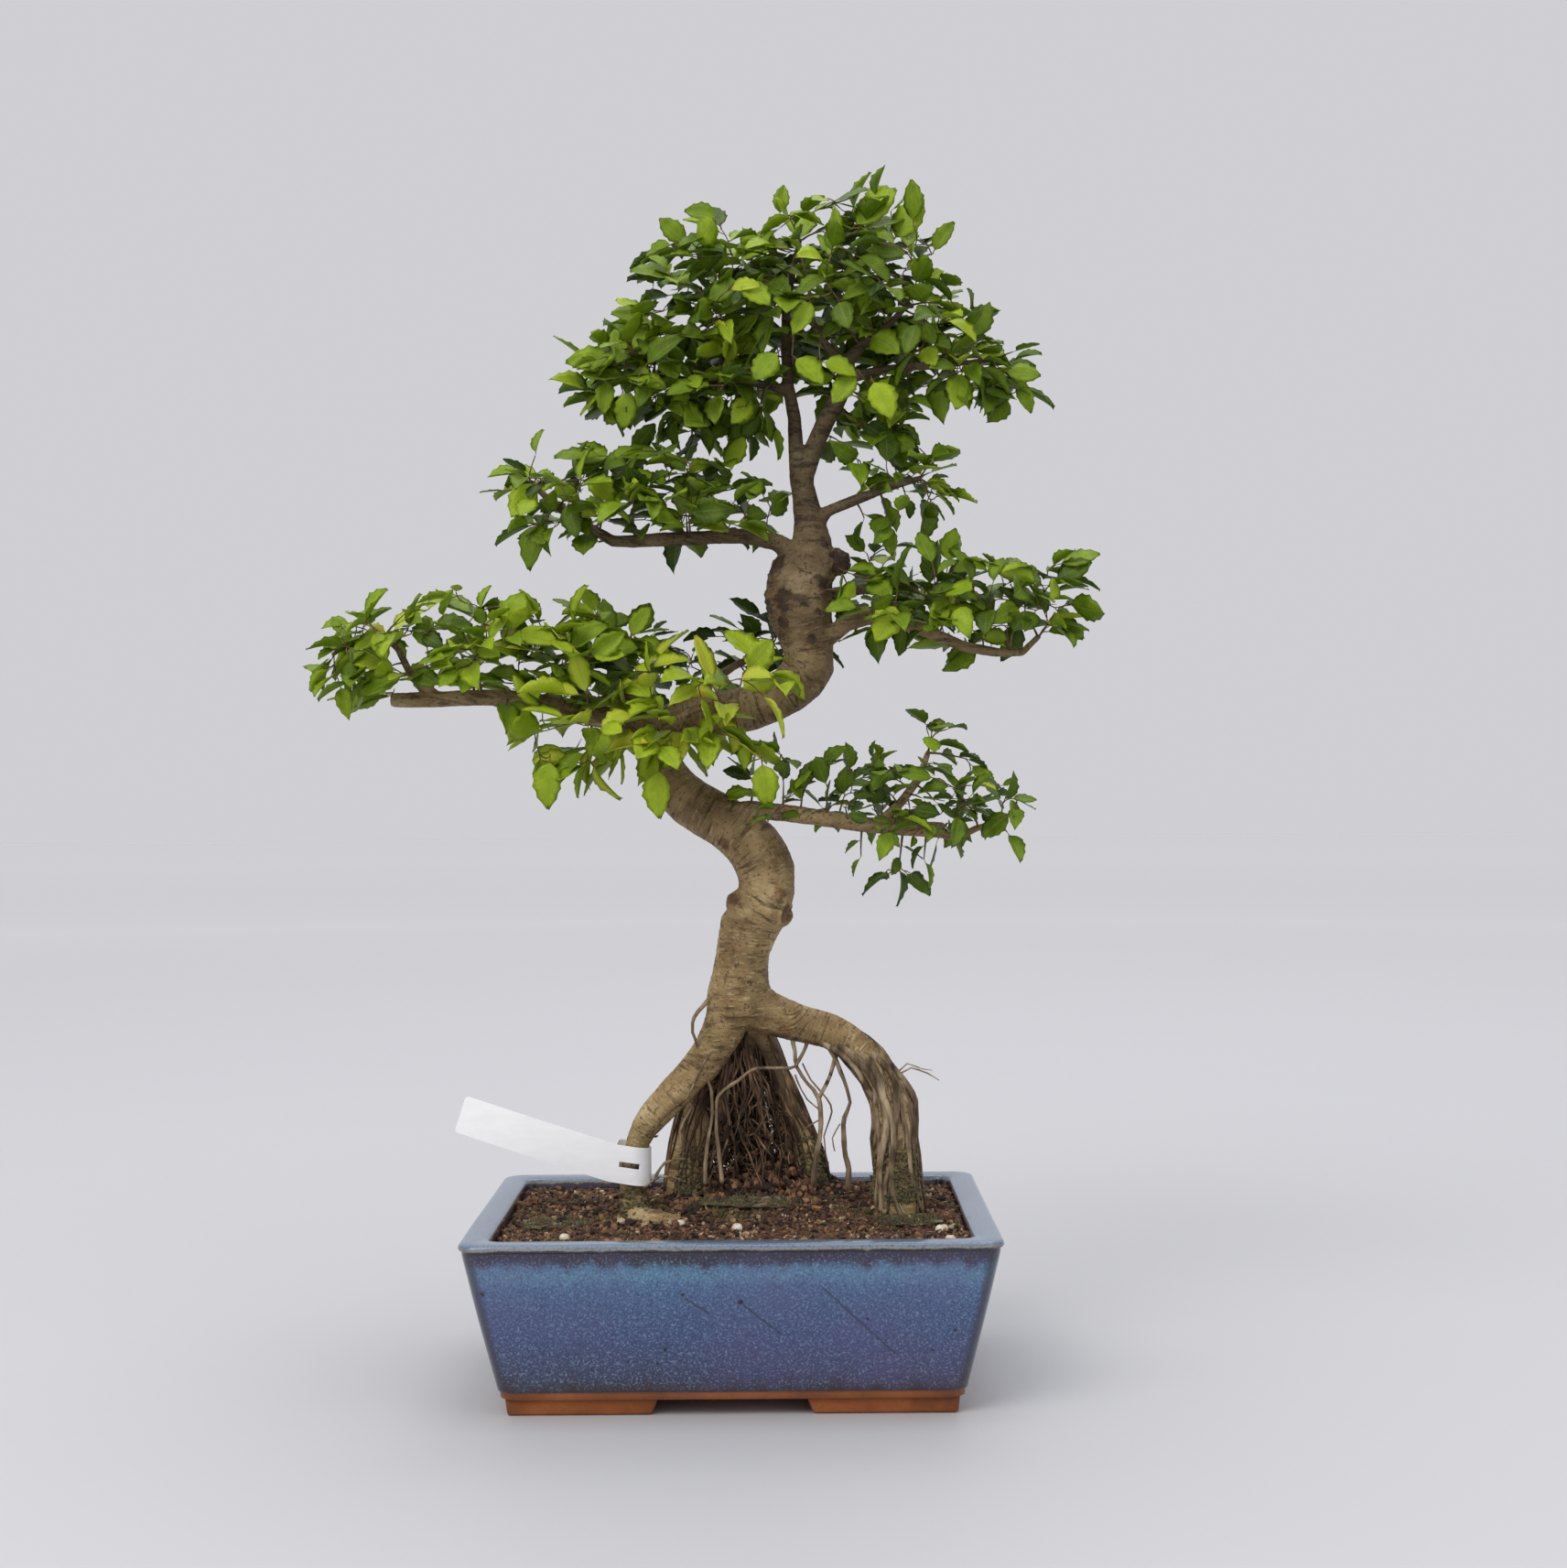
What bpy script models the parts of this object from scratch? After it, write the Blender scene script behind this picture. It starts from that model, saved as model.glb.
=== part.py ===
"""Bonsai elm in a glazed rectangular pot, built piece by piece as closed solids.

Lengths are metres and +Z is up. The feet of the pot stand on z = 0, and +X runs
along the long side of the pot. The tree is drawn by hand in millimetres, with its
heights measured from the line where the soil meets the pot wall, and is then scaled
to the height and trunk width set below. Its roots spread to suit the pot. At the end
the whole model is shifted so that the centre of its plan box is the origin.
"""
import math

import bmesh
import bpy
from mathutils import Matrix, Vector

# ---------------------------------------------------------------- driving sizes
POT_LENGTH = 0.260          # outside of the rim, along X
POT_DEPTH = 0.200           # outside of the rim, along Y
POT_HEIGHT = 0.085          # feet to rim
POT_TAPER = 0.016           # how far each side leans in from rim to base
POT_CORNER = 0.015          # radius of the plan corners at the rim
POT_WALL = 0.009
POT_FLOOR = 0.009
RIM_WIDTH = 0.012           # flat top of the rim
RIM_ROUND = 0.002           # rounding of the lip
LIP_HEIGHT = 0.005          # depth of the thicker lip
LIP_STEP = 0.0012           # how far the lip stands proud of the wall

FOOT_HEIGHT = 0.008
FOOT_LONG_ARM = 0.075       # arm of each L-shaped foot along X
FOOT_SHORT_ARM = 0.052      # arm of each L-shaped foot along Y
FOOT_WIDTH = 0.014
FOOT_INSET = 0.003          # feet set in from the edge of the base

DRAIN_DIAMETER = 0.022
DRAIN_SPACING = 0.110       # between the centres of the two drain holes
SCREEN_SIDE = 0.036         # square plastic screens over the drain holes
SCREEN_THICKNESS = 0.0012
SCREEN_CELLS = 6

SOIL_DROP = 0.004           # soil at the wall lies this far below the rim
SOIL_RIPPLE = 0.0006        # unevenness of the soil's surface
MOUND_HEIGHT = 0.017        # extra height of the soil round the roots
MOUND_LONG = 0.064          # spread of the mound along X
MOUND_SHORT = 0.046         # spread of the mound along Y
MOUND_PLACE = (0.030, 0.012)

TREE_HEIGHT = 0.537         # soil line to the top of the crown
TRUNK_WIDTH = 0.0282        # across the narrow part under the first bend

LABEL_WIDTH = 0.020
LABEL_TAB = 0.011           # width of the tab at the loop's end
LABEL_THICKNESS = 0.0006
LABEL_TAIL = 0.082          # from the root loop to the free end
LABEL_BOW = 0.004           # how far the tail bows forward
LABEL_RISE = 18.0           # degrees that the tail climbs
LABEL_SLACK = 0.0022        # room between the loop and the root
SLOT_WIDTH = 0.0022         # the slot that locks the loop
SLOT_LENGTH = 0.012

GAP = 0.0003                # between pieces that touch

# ------------------------------------------------------------- worked-out sizes
DRAWN_HEIGHT = 537.0        # millimetres, the tree as it is drawn below
DRAWN_TRUNK = 28.2
DRAWN_POT = (260.0, 200.0)  # rim of the pot that the roots were drawn for
DRAWN_FORK = 112.0          # where the roots leave the trunk
TALLER = TREE_HEIGHT / DRAWN_HEIGHT                         # metres per drawn unit
THICKER = TRUNK_WIDTH / DRAWN_TRUNK
SPREAD = (POT_LENGTH / DRAWN_POT[0], POT_DEPTH / DRAWN_POT[1])

BODY_BOTTOM = FOOT_HEIGHT
SOIL_LINE = POT_HEIGHT - SOIL_DROP
SOIL_BOTTOM = BODY_BOTTOM + POT_FLOOR + GAP
SOIL_FIT = GAP * 1.2        # between the soil and the sloping wall
CORNER_STEPS = 5            # flats round a quarter of a pot corner
SMALLEST_CORNER = 0.003
FOOT_OVERLAP = 0.001        # how far a foot runs up into the base that it is fired to
BASE_CHAMFER = 0.0015
SOIL_CELLS = (26, 20)       # grid of the soil's surface, along X and Y
WELD = 1e-6                 # closer points of a new mesh are one point
MERGE = 0.005 / 1000        # the same after a cut, where slivers can be left

OBJECT_NAME = "bonsai_tree_in_pot"


# ------------------------------------------------------------------ scene set-up
def start_clean():
    """Empty the scene and make the two collections."""
    for old in list(bpy.data.objects):
        bpy.data.objects.remove(old, do_unlink=True)
    collections = {}
    for name in (OBJECT_NAME, "cutters"):
        collections[name] = bpy.data.collections.new(name)
        bpy.context.scene.collection.children.link(collections[name])
    return collections[OBJECT_NAME], collections["cutters"]


PARTS, CUTTERS = start_clean()


def material(name, colour, roughness, metallic=0.0):
    """One Principled material."""
    made = bpy.data.materials.new(name)
    made.use_nodes = True
    shader = made.node_tree.nodes["Principled BSDF"]
    shader.inputs["Base Color"].default_value = (*colour, 1.0)
    shader.inputs["Roughness"].default_value = roughness
    shader.inputs["Metallic"].default_value = metallic
    return made


def add_part(name, mesh, colour, roughness=0.8):
    """Put a finished mesh in the object's collection under its own name."""
    mesh.materials.clear()
    mesh.materials.append(material(f"{name}_finish", colour, roughness))
    part = bpy.data.objects.new(name, mesh)
    PARTS.objects.link(part)
    return part


def add_cutter(name, mesh):
    """Keep a solid that only shapes others: it is hidden from renders."""
    cutter = bpy.data.objects.new(name, mesh)
    CUTTERS.objects.link(cutter)
    cutter.hide_render = True
    cutter.display_type = "WIRE"
    return cutter


# ----------------------------------------------------------------- mesh helpers
def finish_mesh(bm, name):
    """Close a bmesh off: merged, facing out and turned into mesh data."""
    bmesh.ops.remove_doubles(bm, verts=bm.verts, dist=WELD)
    bmesh.ops.recalc_face_normals(bm, faces=bm.faces)
    mesh = bpy.data.meshes.new(name)
    bm.to_mesh(mesh)
    bm.free()
    return mesh


def evaluated_mesh(thing):
    """The mesh of an object with its modifiers applied."""
    bpy.context.view_layer.update()
    depsgraph = bpy.context.evaluated_depsgraph_get()
    return bpy.data.meshes.new_from_object(thing.evaluated_get(depsgraph))


def boolean(target, tool, operation, crosses_itself):
    """Add one exact Boolean modifier."""
    step = target.modifiers.new(f"{operation.lower()}_{tool.name}", "BOOLEAN")
    step.operation = operation
    step.solver = "EXACT"
    step.use_self = crosses_itself
    step.object = tool


def combine(base_mesh, tools, operation, name, crosses_itself=False):
    """Apply the same Boolean with every tool and return the new mesh."""
    base = add_cutter(f"{name}_base", base_mesh)
    for tool in tools:
        boolean(base, tool, operation, crosses_itself)
    result = evaluated_mesh(base)
    bpy.data.objects.remove(base, do_unlink=True)
    return result


def largest_piece(mesh):
    """Drop the crumbs that a cut can leave and keep the one large body, closed."""
    bm = bmesh.new()
    bm.from_mesh(mesh)
    bmesh.ops.remove_doubles(bm, verts=bm.verts, dist=MERGE)
    bmesh.ops.dissolve_degenerate(bm, edges=bm.edges, dist=MERGE)
    unseen = set(bm.verts)
    pieces = []
    while unseen:
        stack = [unseen.pop()]
        piece = list(stack)
        while stack:
            vertex = stack.pop()
            for edge in vertex.link_edges:
                other = edge.other_vert(vertex)
                if other in unseen:
                    unseen.remove(other)
                    stack.append(other)
                    piece.append(other)
        pieces.append(piece)
    pieces.sort(key=len)
    crumbs = [vertex for piece in pieces[:-1] for vertex in piece]
    bmesh.ops.delete(bm, geom=crumbs, context="VERTS")
    bmesh.ops.holes_fill(bm, edges=[edge for edge in bm.edges if edge.is_boundary], sides=0)
    bm.to_mesh(mesh)
    bm.free()
    return mesh


def smooth_sharp(mesh, degrees=40):
    """Smooth shading that keeps the real edges sharp."""
    mesh.shade_smooth()
    mesh.set_sharp_from_angle(angle=math.radians(degrees))


# -------------------------------------------------------------------------- pot
def corner_ring(bm, half_x, half_y, corner, z):
    """Vertices in order round a rectangle with rounded corners."""
    ring = []
    for quarter in range(4):
        turn = quarter * math.pi / 2
        side_x = half_x - corner if quarter in (0, 3) else corner - half_x
        side_y = half_y - corner if quarter in (0, 1) else corner - half_y
        for step in range(CORNER_STEPS + 1):
            angle = turn + step * math.pi / 2 / CORNER_STEPS
            x = side_x + corner * math.cos(angle)
            y = side_y + corner * math.sin(angle)
            ring.append(bm.verts.new((x, y, z)))
    return ring


def loft(levels, name):
    """A solid through rounded rectangles given as (inset, z), first to last."""
    bm = bmesh.new()
    rings = []
    for inset, z in levels:
        corner = max(POT_CORNER - inset, SMALLEST_CORNER)
        half_x = POT_LENGTH / 2 - inset
        half_y = POT_DEPTH / 2 - inset
        rings.append(corner_ring(bm, half_x, half_y, corner, z))
    for lower, upper in zip(rings, rings[1:]):
        for index in range(len(lower)):
            bm.faces.new((lower[index - 1], lower[index], upper[index], upper[index - 1]))
    for end in (rings[0], rings[-1]):
        bm.faces.new(end)
    return finish_mesh(bm, name)


def wall_inset(z):
    """How far the outer wall is set in from the rim's edge at height z."""
    share = (POT_HEIGHT - LIP_HEIGHT - z) / (POT_HEIGHT - LIP_HEIGHT - BODY_BOTTOM)
    return LIP_STEP + (POT_TAPER - LIP_STEP) * share


def box(name, size, centre):
    """An axis-aligned box."""
    bm = bmesh.new()
    bmesh.ops.create_cube(bm, size=1.0)
    bmesh.ops.scale(bm, vec=Vector(size), verts=bm.verts)
    bmesh.ops.translate(bm, vec=Vector(centre), verts=bm.verts)
    return finish_mesh(bm, name)


def cylinder(name, radius, depth, centre, sides=24):
    """An upright cylinder."""
    bm = bmesh.new()
    bmesh.ops.create_cone(bm, cap_ends=True, segments=sides,
                          radius1=radius, radius2=radius, depth=depth)
    bmesh.ops.translate(bm, vec=Vector(centre), verts=bm.verts)
    return finish_mesh(bm, name)


def pot_profile():
    """Inset and height of each ring, up the outside and down the inside."""
    under_lip = POT_HEIGHT - LIP_HEIGHT
    inner_floor = BODY_BOTTOM + POT_FLOOR
    return [
        (POT_TAPER + BASE_CHAMFER, BODY_BOTTOM),
        (POT_TAPER, BODY_BOTTOM + BASE_CHAMFER),
        (wall_inset(under_lip), under_lip),
        (LIP_STEP / 4, under_lip + LIP_STEP),
        (0.0, POT_HEIGHT - RIM_ROUND),
        (RIM_ROUND * 0.3, POT_HEIGHT - RIM_ROUND * 0.3),
        (RIM_ROUND, POT_HEIGHT),
        (RIM_WIDTH - RIM_ROUND / 2, POT_HEIGHT),
        (RIM_WIDTH, POT_HEIGHT - RIM_ROUND / 2),
        (inner_inset(under_lip), under_lip - LIP_STEP),
        (inner_inset(inner_floor), inner_floor),
    ]


def inner_inset(z):
    """How far the inside wall is set in from the rim's edge at height z."""
    under_rim = RIM_WIDTH - LIP_STEP - POT_WALL
    return wall_inset(z) + POT_WALL + max(0.0, under_rim)


def foot(side_x, side_y):
    """One L-shaped foot under a corner of the base, reaching just into the clay above."""
    bm = bmesh.new()
    bmesh.ops.create_grid(bm, x_segments=2, y_segments=2, size=1.0)
    inner = min(bm.faces, key=lambda face: sum(face.calc_center_median()))
    bmesh.ops.delete(bm, geom=[inner], context="FACES")
    reach = (POT_LENGTH / 2 - POT_TAPER - FOOT_INSET, POT_DEPTH / 2 - POT_TAPER - FOOT_INSET)
    stations = (
        (reach[0] - FOOT_LONG_ARM, reach[0] - FOOT_WIDTH, reach[0]),
        (reach[1] - FOOT_SHORT_ARM, reach[1] - FOOT_WIDTH, reach[1]),
    )
    for vertex in bm.verts:
        column, row = round(vertex.co.x) + 1, round(vertex.co.y) + 1
        vertex.co = Vector((side_x * stations[0][column], side_y * stations[1][row], 0.0))
    raised = bmesh.ops.extrude_face_region(bm, geom=list(bm.faces), use_keep_orig=True)
    for item in raised["geom"]:
        if isinstance(item, bmesh.types.BMVert):
            item.co.z = FOOT_HEIGHT + FOOT_OVERLAP
    return finish_mesh(bm, "foot")


def build_pot():
    """One fired piece: tapered body, lip, four L-shaped feet and two drain holes."""
    body = loft(pot_profile(), "pot_body")
    corners = [(side_x, side_y) for side_x in (-1, 1) for side_y in (-1, 1)]
    feet = [add_cutter("foot", foot(*corner)) for corner in corners]
    body = combine(body, feet, "UNION", "pot")
    drains = []
    for side in (-1, 1):
        centre = (side * DRAIN_SPACING / 2, 0.0, BODY_BOTTOM + POT_FLOOR / 2)
        hole = cylinder("drain_hole", DRAIN_DIAMETER / 2, POT_FLOOR * 2, centre)
        drains.append(add_cutter("drain_hole", hole))
    body = combine(body, drains, "DIFFERENCE", "pot")
    smooth_sharp(body, 30)
    return add_part("pot", body, (0.045, 0.12, 0.28), 0.25)


# ------------------------------------------------------------------------- soil
def soil_height(x, y):
    """Top of the soil: level at the wall, mounded and uneven round the roots."""
    away_x = (x - MOUND_PLACE[0]) / MOUND_LONG
    away_y = (y - MOUND_PLACE[1]) / MOUND_SHORT
    mound = MOUND_HEIGHT * math.exp(-away_x * away_x - away_y * away_y)
    ripple = SOIL_RIPPLE * math.sin(x * 140) * math.cos(y * 170)
    return SOIL_LINE + mound + ripple


def soil_block(raised, name):
    """A block under the soil's top surface, lifted by the given amount."""
    bm = bmesh.new()
    across, deep = SOIL_CELLS
    bmesh.ops.create_grid(bm, x_segments=across, y_segments=deep, size=0.5)
    margin = 0.004
    stretch = Vector((POT_LENGTH + margin, POT_DEPTH + margin, 1.0))
    bmesh.ops.scale(bm, vec=stretch, verts=bm.verts)
    for vertex in bm.verts:
        vertex.co.z = soil_height(vertex.co.x, vertex.co.y) + raised
    sides = bmesh.ops.extrude_face_region(bm, geom=list(bm.faces))
    for item in sides["geom"]:
        if isinstance(item, bmesh.types.BMVert):
            item.co.z = 0.0
    bmesh.ops.triangulate(bm, faces=bm.faces)
    return finish_mesh(bm, name)


def build_soil(sockets):
    """The packed soil: it fills the pot and has a socket for all that grows in it."""
    top = SOIL_LINE + MOUND_HEIGHT * 2
    steps = [SOIL_BOTTOM, SOIL_LINE / 2, POT_HEIGHT - LIP_HEIGHT - LIP_STEP]
    levels = [(inner_inset(z) + SOIL_FIT, z) for z in steps]
    levels[0] = (levels[0][0] + GAP, levels[0][1])
    neck = max(RIM_WIDTH + SOIL_FIT, levels[-1][0])
    levels += [(neck, SOIL_LINE), (neck, top)]
    plug = loft(levels, "soil_plug")
    surface = add_cutter("soil_surface", soil_block(0.0, "soil_surface"))
    soil = combine(plug, [surface], "INTERSECT", "soil")
    soil = combine(soil, sockets, "DIFFERENCE", "soil")
    soil = largest_piece(soil)
    smooth_sharp(soil, 35)
    return add_part("soil", soil, (0.05, 0.03, 0.018), 0.95)


def screen_place(side):
    """Centre of a drain screen, lying on the pot floor."""
    z = BODY_BOTTOM + POT_FLOOR + GAP + SCREEN_THICKNESS / 2
    return (side * DRAIN_SPACING / 2, 0.0, z)


def build_screen(name, side):
    """A square plastic screen with a grid of openings, over one drain hole."""
    bm = bmesh.new()
    cells = SCREEN_CELLS * 2 + 1
    bmesh.ops.create_grid(bm, x_segments=cells, y_segments=cells, size=SCREEN_SIDE / 2)
    pitch = SCREEN_SIDE / cells
    holes = []
    for face in bm.faces:
        centre = face.calc_center_median()
        column = int((centre.x + SCREEN_SIDE / 2) / pitch)
        row = int((centre.y + SCREEN_SIDE / 2) / pitch)
        if column % 2 == 1 and row % 2 == 1:
            holes.append(face)
    bmesh.ops.delete(bm, geom=holes, context="FACES")
    solid = list(bm.faces)
    raised = bmesh.ops.extrude_face_region(bm, geom=solid, use_keep_orig=True)
    for item in raised["geom"]:
        if isinstance(item, bmesh.types.BMVert):
            item.co.z += SCREEN_THICKNESS
    x, y, z = screen_place(side)
    lift = Vector((x, y, z - SCREEN_THICKNESS / 2))
    bmesh.ops.translate(bm, vec=lift, verts=bm.verts)
    return add_part(name, finish_mesh(bm, name), (0.03, 0.03, 0.03), 0.6)


def screen_pocket(side):
    """The room that a screen takes in the soil."""
    size = SCREEN_SIDE + GAP * 2
    x, y, z = screen_place(side)
    return box("screen_pocket", (size, size, SCREEN_THICKNESS + GAP * 2), (x, y, z))


# ------------------------------------------------------------------------- wood
def tree(x, y, z):
    """A point of the drawn tree, in the model's metres.

    Above the fork the tree keeps its shape at any height. Below it the roots spread
    step by step to the places in the soil that the pot's length and depth give.
    """
    rooted = 1.0 - min(1.0, max(0.0, z / DRAWN_FORK))
    wide, deep = (TALLER + (pot_share - TALLER) * rooted for pot_share in SPREAD)
    return Vector((x * wide, y * deep, SOIL_LINE + z * TALLER))


def on_soil(x, y):
    """A place drawn on the soil, in the model's metres."""
    return x * SPREAD[0], y * SPREAD[1]


# Each route runs from its root end to its tip as (x, y, z, radius), millimetres.
TRUNK = [
    (3, 0, 106, 17.6), (3, 0, 117, 16.7), (4, 0, 126, 15.1), (5, -1, 139, 14.1),
    (8, -2, 151, 15.6), (15, -4, 161, 14.4), (18, -5, 171, 14.8), (18, -5, 181, 15.2),
    (11, -3, 194, 14.8), (-3, 0, 206, 13.6), (-22, 4, 217, 13.0), (-35, 8, 231, 12.2),
    (-39, 10, 245, 12.0), (-32, 11, 257, 12.0), (-14, 9, 262, 12.0), (10, 5, 266, 12.0),
    (30, 2, 275, 12.8), (41, 0, 288, 14.0), (40, 0, 301, 14.6), (37, -2, 314, 16.6),
    (36, -2, 329, 17.8), (41, -2, 343, 14.8), (43, -1, 353, 10.5), (41, 0, 366, 7.4),
    (38, 1, 383, 6.5), (37, 1, 391, 6.0),
]
LEGS = {
    "left_leg": [
        (2, 0, 118, 13.2), (-5, -2, 100, 11.6), (-12, -4, 87, 10.3), (-23, -5, 74, 9.3),
        (-37, -4, 59, 8.6), (-47, -3, 47, 7.3), (-52, -2, 34, 6.5), (-53, 0, 18, 6.8),
        (-53, 2, 1, 7.8), (-54, 3, -14, 8.2),
    ],
    "right_leg": [
        (4, 0, 116, 13.2), (18, -2, 107, 11.6), (34, -4, 102, 10.2), (51, -6, 97, 9.0),
        (65, -8, 88, 9.0), (76, -9, 76, 9.1), (83, -10, 59, 10.0), (84, -10, 38, 11.2),
        (84, -10, 20, 12.6), (85, -10, 2, 13.6), (86, -10, -14, 13.0),
    ],
    "centre_left_root": [
        (-1, 3, 108, 9.0), (-7, 9, 86, 6.6), (-12, 12, 69, 6.1), (-17, 13, 50, 7.0),
        (-20, 13, 32, 8.0), (-22, 13, 12, 9.0), (-24, 13, -12, 9.0),
    ],
    "centre_root": [
        (4, 4, 110, 10.0), (7, 14, 86, 6.6), (8, 18, 65, 6.2), (9, 20, 43, 7.6),
        (10, 20, 24, 9.2), (10, 20, 4, 10.4), (10, 20, -12, 10.0),
    ],
    "centre_right_root": [
        (9, 2, 108, 8.0), (18, 8, 88, 5.2), (26, 10, 69, 4.9), (33, 10, 51, 5.4),
        (40, 9, 33, 6.2), (44, 8, 14, 7.2), (46, 8, -12, 7.6),
    ],
    "back_right_root": [
        (6, 4, 112, 11.0), (14, 24, 92, 8.0), (22, 40, 68, 7.0), (27, 50, 42, 7.0),
        (30, 54, 14, 8.0), (31, 55, -12, 8.0),
    ],
    "back_left_root": [
        (0, 4, 110, 10.0), (-14, 22, 82, 7.0), (-25, 37, 52, 6.4), (-31, 45, 20, 7.4),
        (-33, 48, -12, 7.8),
    ],
    "surface_root": [
        (-53, 3, -2, 6.0), (-51, -13, 3, 6.0), (-42, -21, 3, 5.6), (-27, -24, 0, 5.0),
        (-12, -26, -6, 4.0),
    ],
}
LIMBS = {
    "stub": [(-37, 9, 248, 10.0), (-48, 5, 263, 8.8), (-57, 2, 274, 7.8)],
    "low_left_limb": [
        (-31, 9, 254, 7.0), (-54, 0, 259, 5.8), (-78, -5, 265, 5.2), (-109, -9, 271, 4.7),
        (-128, -10, 272, 4.5), (-154, -10, 271, 4.3), (-176, -10, 271, 4.0),
    ],
    "low_left_tip": [
        (-150, -10, 271, 3.4), (-165, -10, 283, 2.7), (-172, -9, 297, 2.2),
        (-181, -8, 306, 1.6),
    ],
    "low_front_limb": [
        (-36, 6, 238, 6.0), (-36, -12, 246, 4.0), (-33, -28, 255, 3.0),
        (-18, -38, 264, 2.4), (4, -40, 268, 1.8),
    ],
    "low_front_side": [
        (-35, -20, 250, 2.8), (-52, -32, 254, 2.3), (-74, -38, 258, 1.7),
    ],
    "low_right_limb": [
        (-4, -2, 210, 6.2), (10, -12, 213, 5.1), (29, -18, 211, 4.7), (49, -22, 208, 4.5),
        (67, -25, 205, 4.3), (87, -26, 203, 4.2), (109, -27, 202, 4.2),
    ],
    "low_right_rise": [
        (74, -25, 204, 3.4), (87, -24, 216, 2.8), (97, -20, 229, 2.4), (102, -16, 243, 1.8),
    ],
    "low_right_tip": [
        (98, -27, 202, 3.0), (115, -28, 198, 2.3), (126, -28, 203, 2.0), (138, -27, 206, 1.6),
    ],
    "back_low_limb": [
        (-36, 12, 240, 7.0), (-33, 30, 256, 4.6), (-20, 52, 276, 3.4), (2, 66, 292, 2.4),
        (20, 70, 300, 1.8),
    ],
    "mid_right_limb": [
        (38, -1, 292, 7.0), (50, -6, 301, 5.4), (60, -10, 309, 4.8), (72, -12, 312, 4.3),
        (89, -14, 309, 3.9), (109, -15, 301, 3.5), (121, -15, 296, 3.2),
        (138, -14, 293, 2.7), (151, -13, 293, 2.3), (160, -12, 302, 1.8),
    ],
    "back_high_limb": [
        (36, 2, 318, 8.0), (48, 20, 325, 4.6), (72, 38, 331, 3.2), (100, 46, 334, 2.0),
    ],
    "upper_left_limb": [
        (36, 0, 342, 7.0), (25, -2, 352, 5.0), (8, -5, 355, 4.4), (-14, -8, 354, 4.0),
        (-37, -10, 353, 3.8), (-60, -12, 352, 3.3), (-70, -12, 358, 2.8),
        (-80, -12, 363, 2.4), (-91, -12, 372, 2.1), (-102, -12, 382, 1.7),
    ],
    "upper_right_sprig": [
        (42, 0, 358, 5.0), (51, -2, 368, 3.4), (67, -5, 374, 2.9), (84, -8, 380, 2.4),
        (100, -10, 384, 1.8),
    ],
    "leader": [
        (37, 1, 383, 6.0), (35, 2, 398, 4.5), (34, 5, 418, 3.8), (31, 7, 435, 3.5),
        (30, 8, 453, 3.1), (30, 7, 472, 2.6), (33, 5, 491, 2.2), (38, 4, 512, 1.6),
    ],
    "second_leader": [
        (38, 1, 384, 6.0), (44, -2, 401, 5.3), (50, -4, 414, 5.0), (57, -6, 426, 4.8),
        (61, -7, 437, 4.7), (62, -8, 446, 4.0), (71, -9, 454, 3.0), (82, -10, 462, 2.3),
        (93, -8, 474, 1.7),
    ],
    "second_leader_side": [
        (60, -8, 443, 3.4), (50, -10, 454, 2.6), (43, -12, 466, 2.1), (42, -12, 482, 1.5),
    ],
    "crown_right_branch": [
        (60, -7, 436, 3.6), (85, -8, 441, 2.6), (112, -6, 443, 2.1), (140, -6, 446, 1.6),
    ],
    "crown_left_branch": [
        (32, 7, 432, 3.2), (10, 4, 437, 2.6), (-12, 2, 437, 2.2), (-42, 2, 441, 1.6),
    ],
}
# Swellings that the tree has grown over old wounds, as (x, y, z, radius).
BURLS = [(2, -5, 165, 6.5), (26, -6, 157, 5.5), (55, -4, 341, 7.5), (27, -9, 322, 7.0)]
THICK_STEP = 9.0            # between the rings of the trunk and the root legs
THIN_STEP = 14.0            # between the rings of the limbs
THIN_LIMB = 4.5             # limbs no thicker than this have fewer sides


def curve_through(points, spacing):
    """Points about one spacing apart on a smooth curve through all of a route."""
    ends = [points[0], *points, points[-1]]
    smooth = []
    for a, b, c, d in zip(ends, ends[1:], ends[2:], ends[3:]):
        length = math.dist(b[:3], c[:3])
        count = max(1, round(length / spacing))
        for step in range(count):
            t = step / count
            smooth.append([
                0.5 * (2 * q + (r - p) * t + (2 * p - 5 * q + 4 * r - s) * t * t
                       + (3 * q - p - 3 * r + s) * t * t * t)
                for p, q, r, s in zip(a, b, c, d)
            ])
    smooth.append(list(points[-1]))
    return smooth


def tube(name, route, grow, spacing, rounding):
    """A tapering round stem along a route, grown outwards by a clearance."""
    path = curve_through(route, spacing)
    data = bpy.data.curves.new(name, "CURVE")
    data.dimensions = "3D"
    data.bevel_depth = 1.0
    data.bevel_resolution = rounding
    data.use_fill_caps = True
    spline = data.splines.new("POLY")
    spline.points.add(len(path) - 1)
    ends = [tree(*path[0][:3]), tree(*path[1][:3]), tree(*path[-2][:3]), tree(*path[-1][:3])]
    for index, (x, y, z, radius) in enumerate(path):
        place = tree(x, y, z)
        if index == 0:
            place -= (ends[1] - ends[0]).normalized() * grow
        if index == len(path) - 1:
            place += (ends[3] - ends[2]).normalized() * grow
        spline.points[index].co = (*place, 1.0)
        spline.points[index].radius = radius * THICKER + grow
    holder = bpy.data.objects.new(name, data)
    CUTTERS.objects.link(holder)
    mesh = evaluated_mesh(holder)
    bpy.data.objects.remove(holder, do_unlink=True)
    bm = bmesh.new()
    bm.from_mesh(mesh)
    bmesh.ops.remove_doubles(bm, verts=bm.verts, dist=WELD)
    bmesh.ops.recalc_face_normals(bm, faces=bm.faces)
    bm.to_mesh(mesh)
    bm.free()
    return mesh


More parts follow.
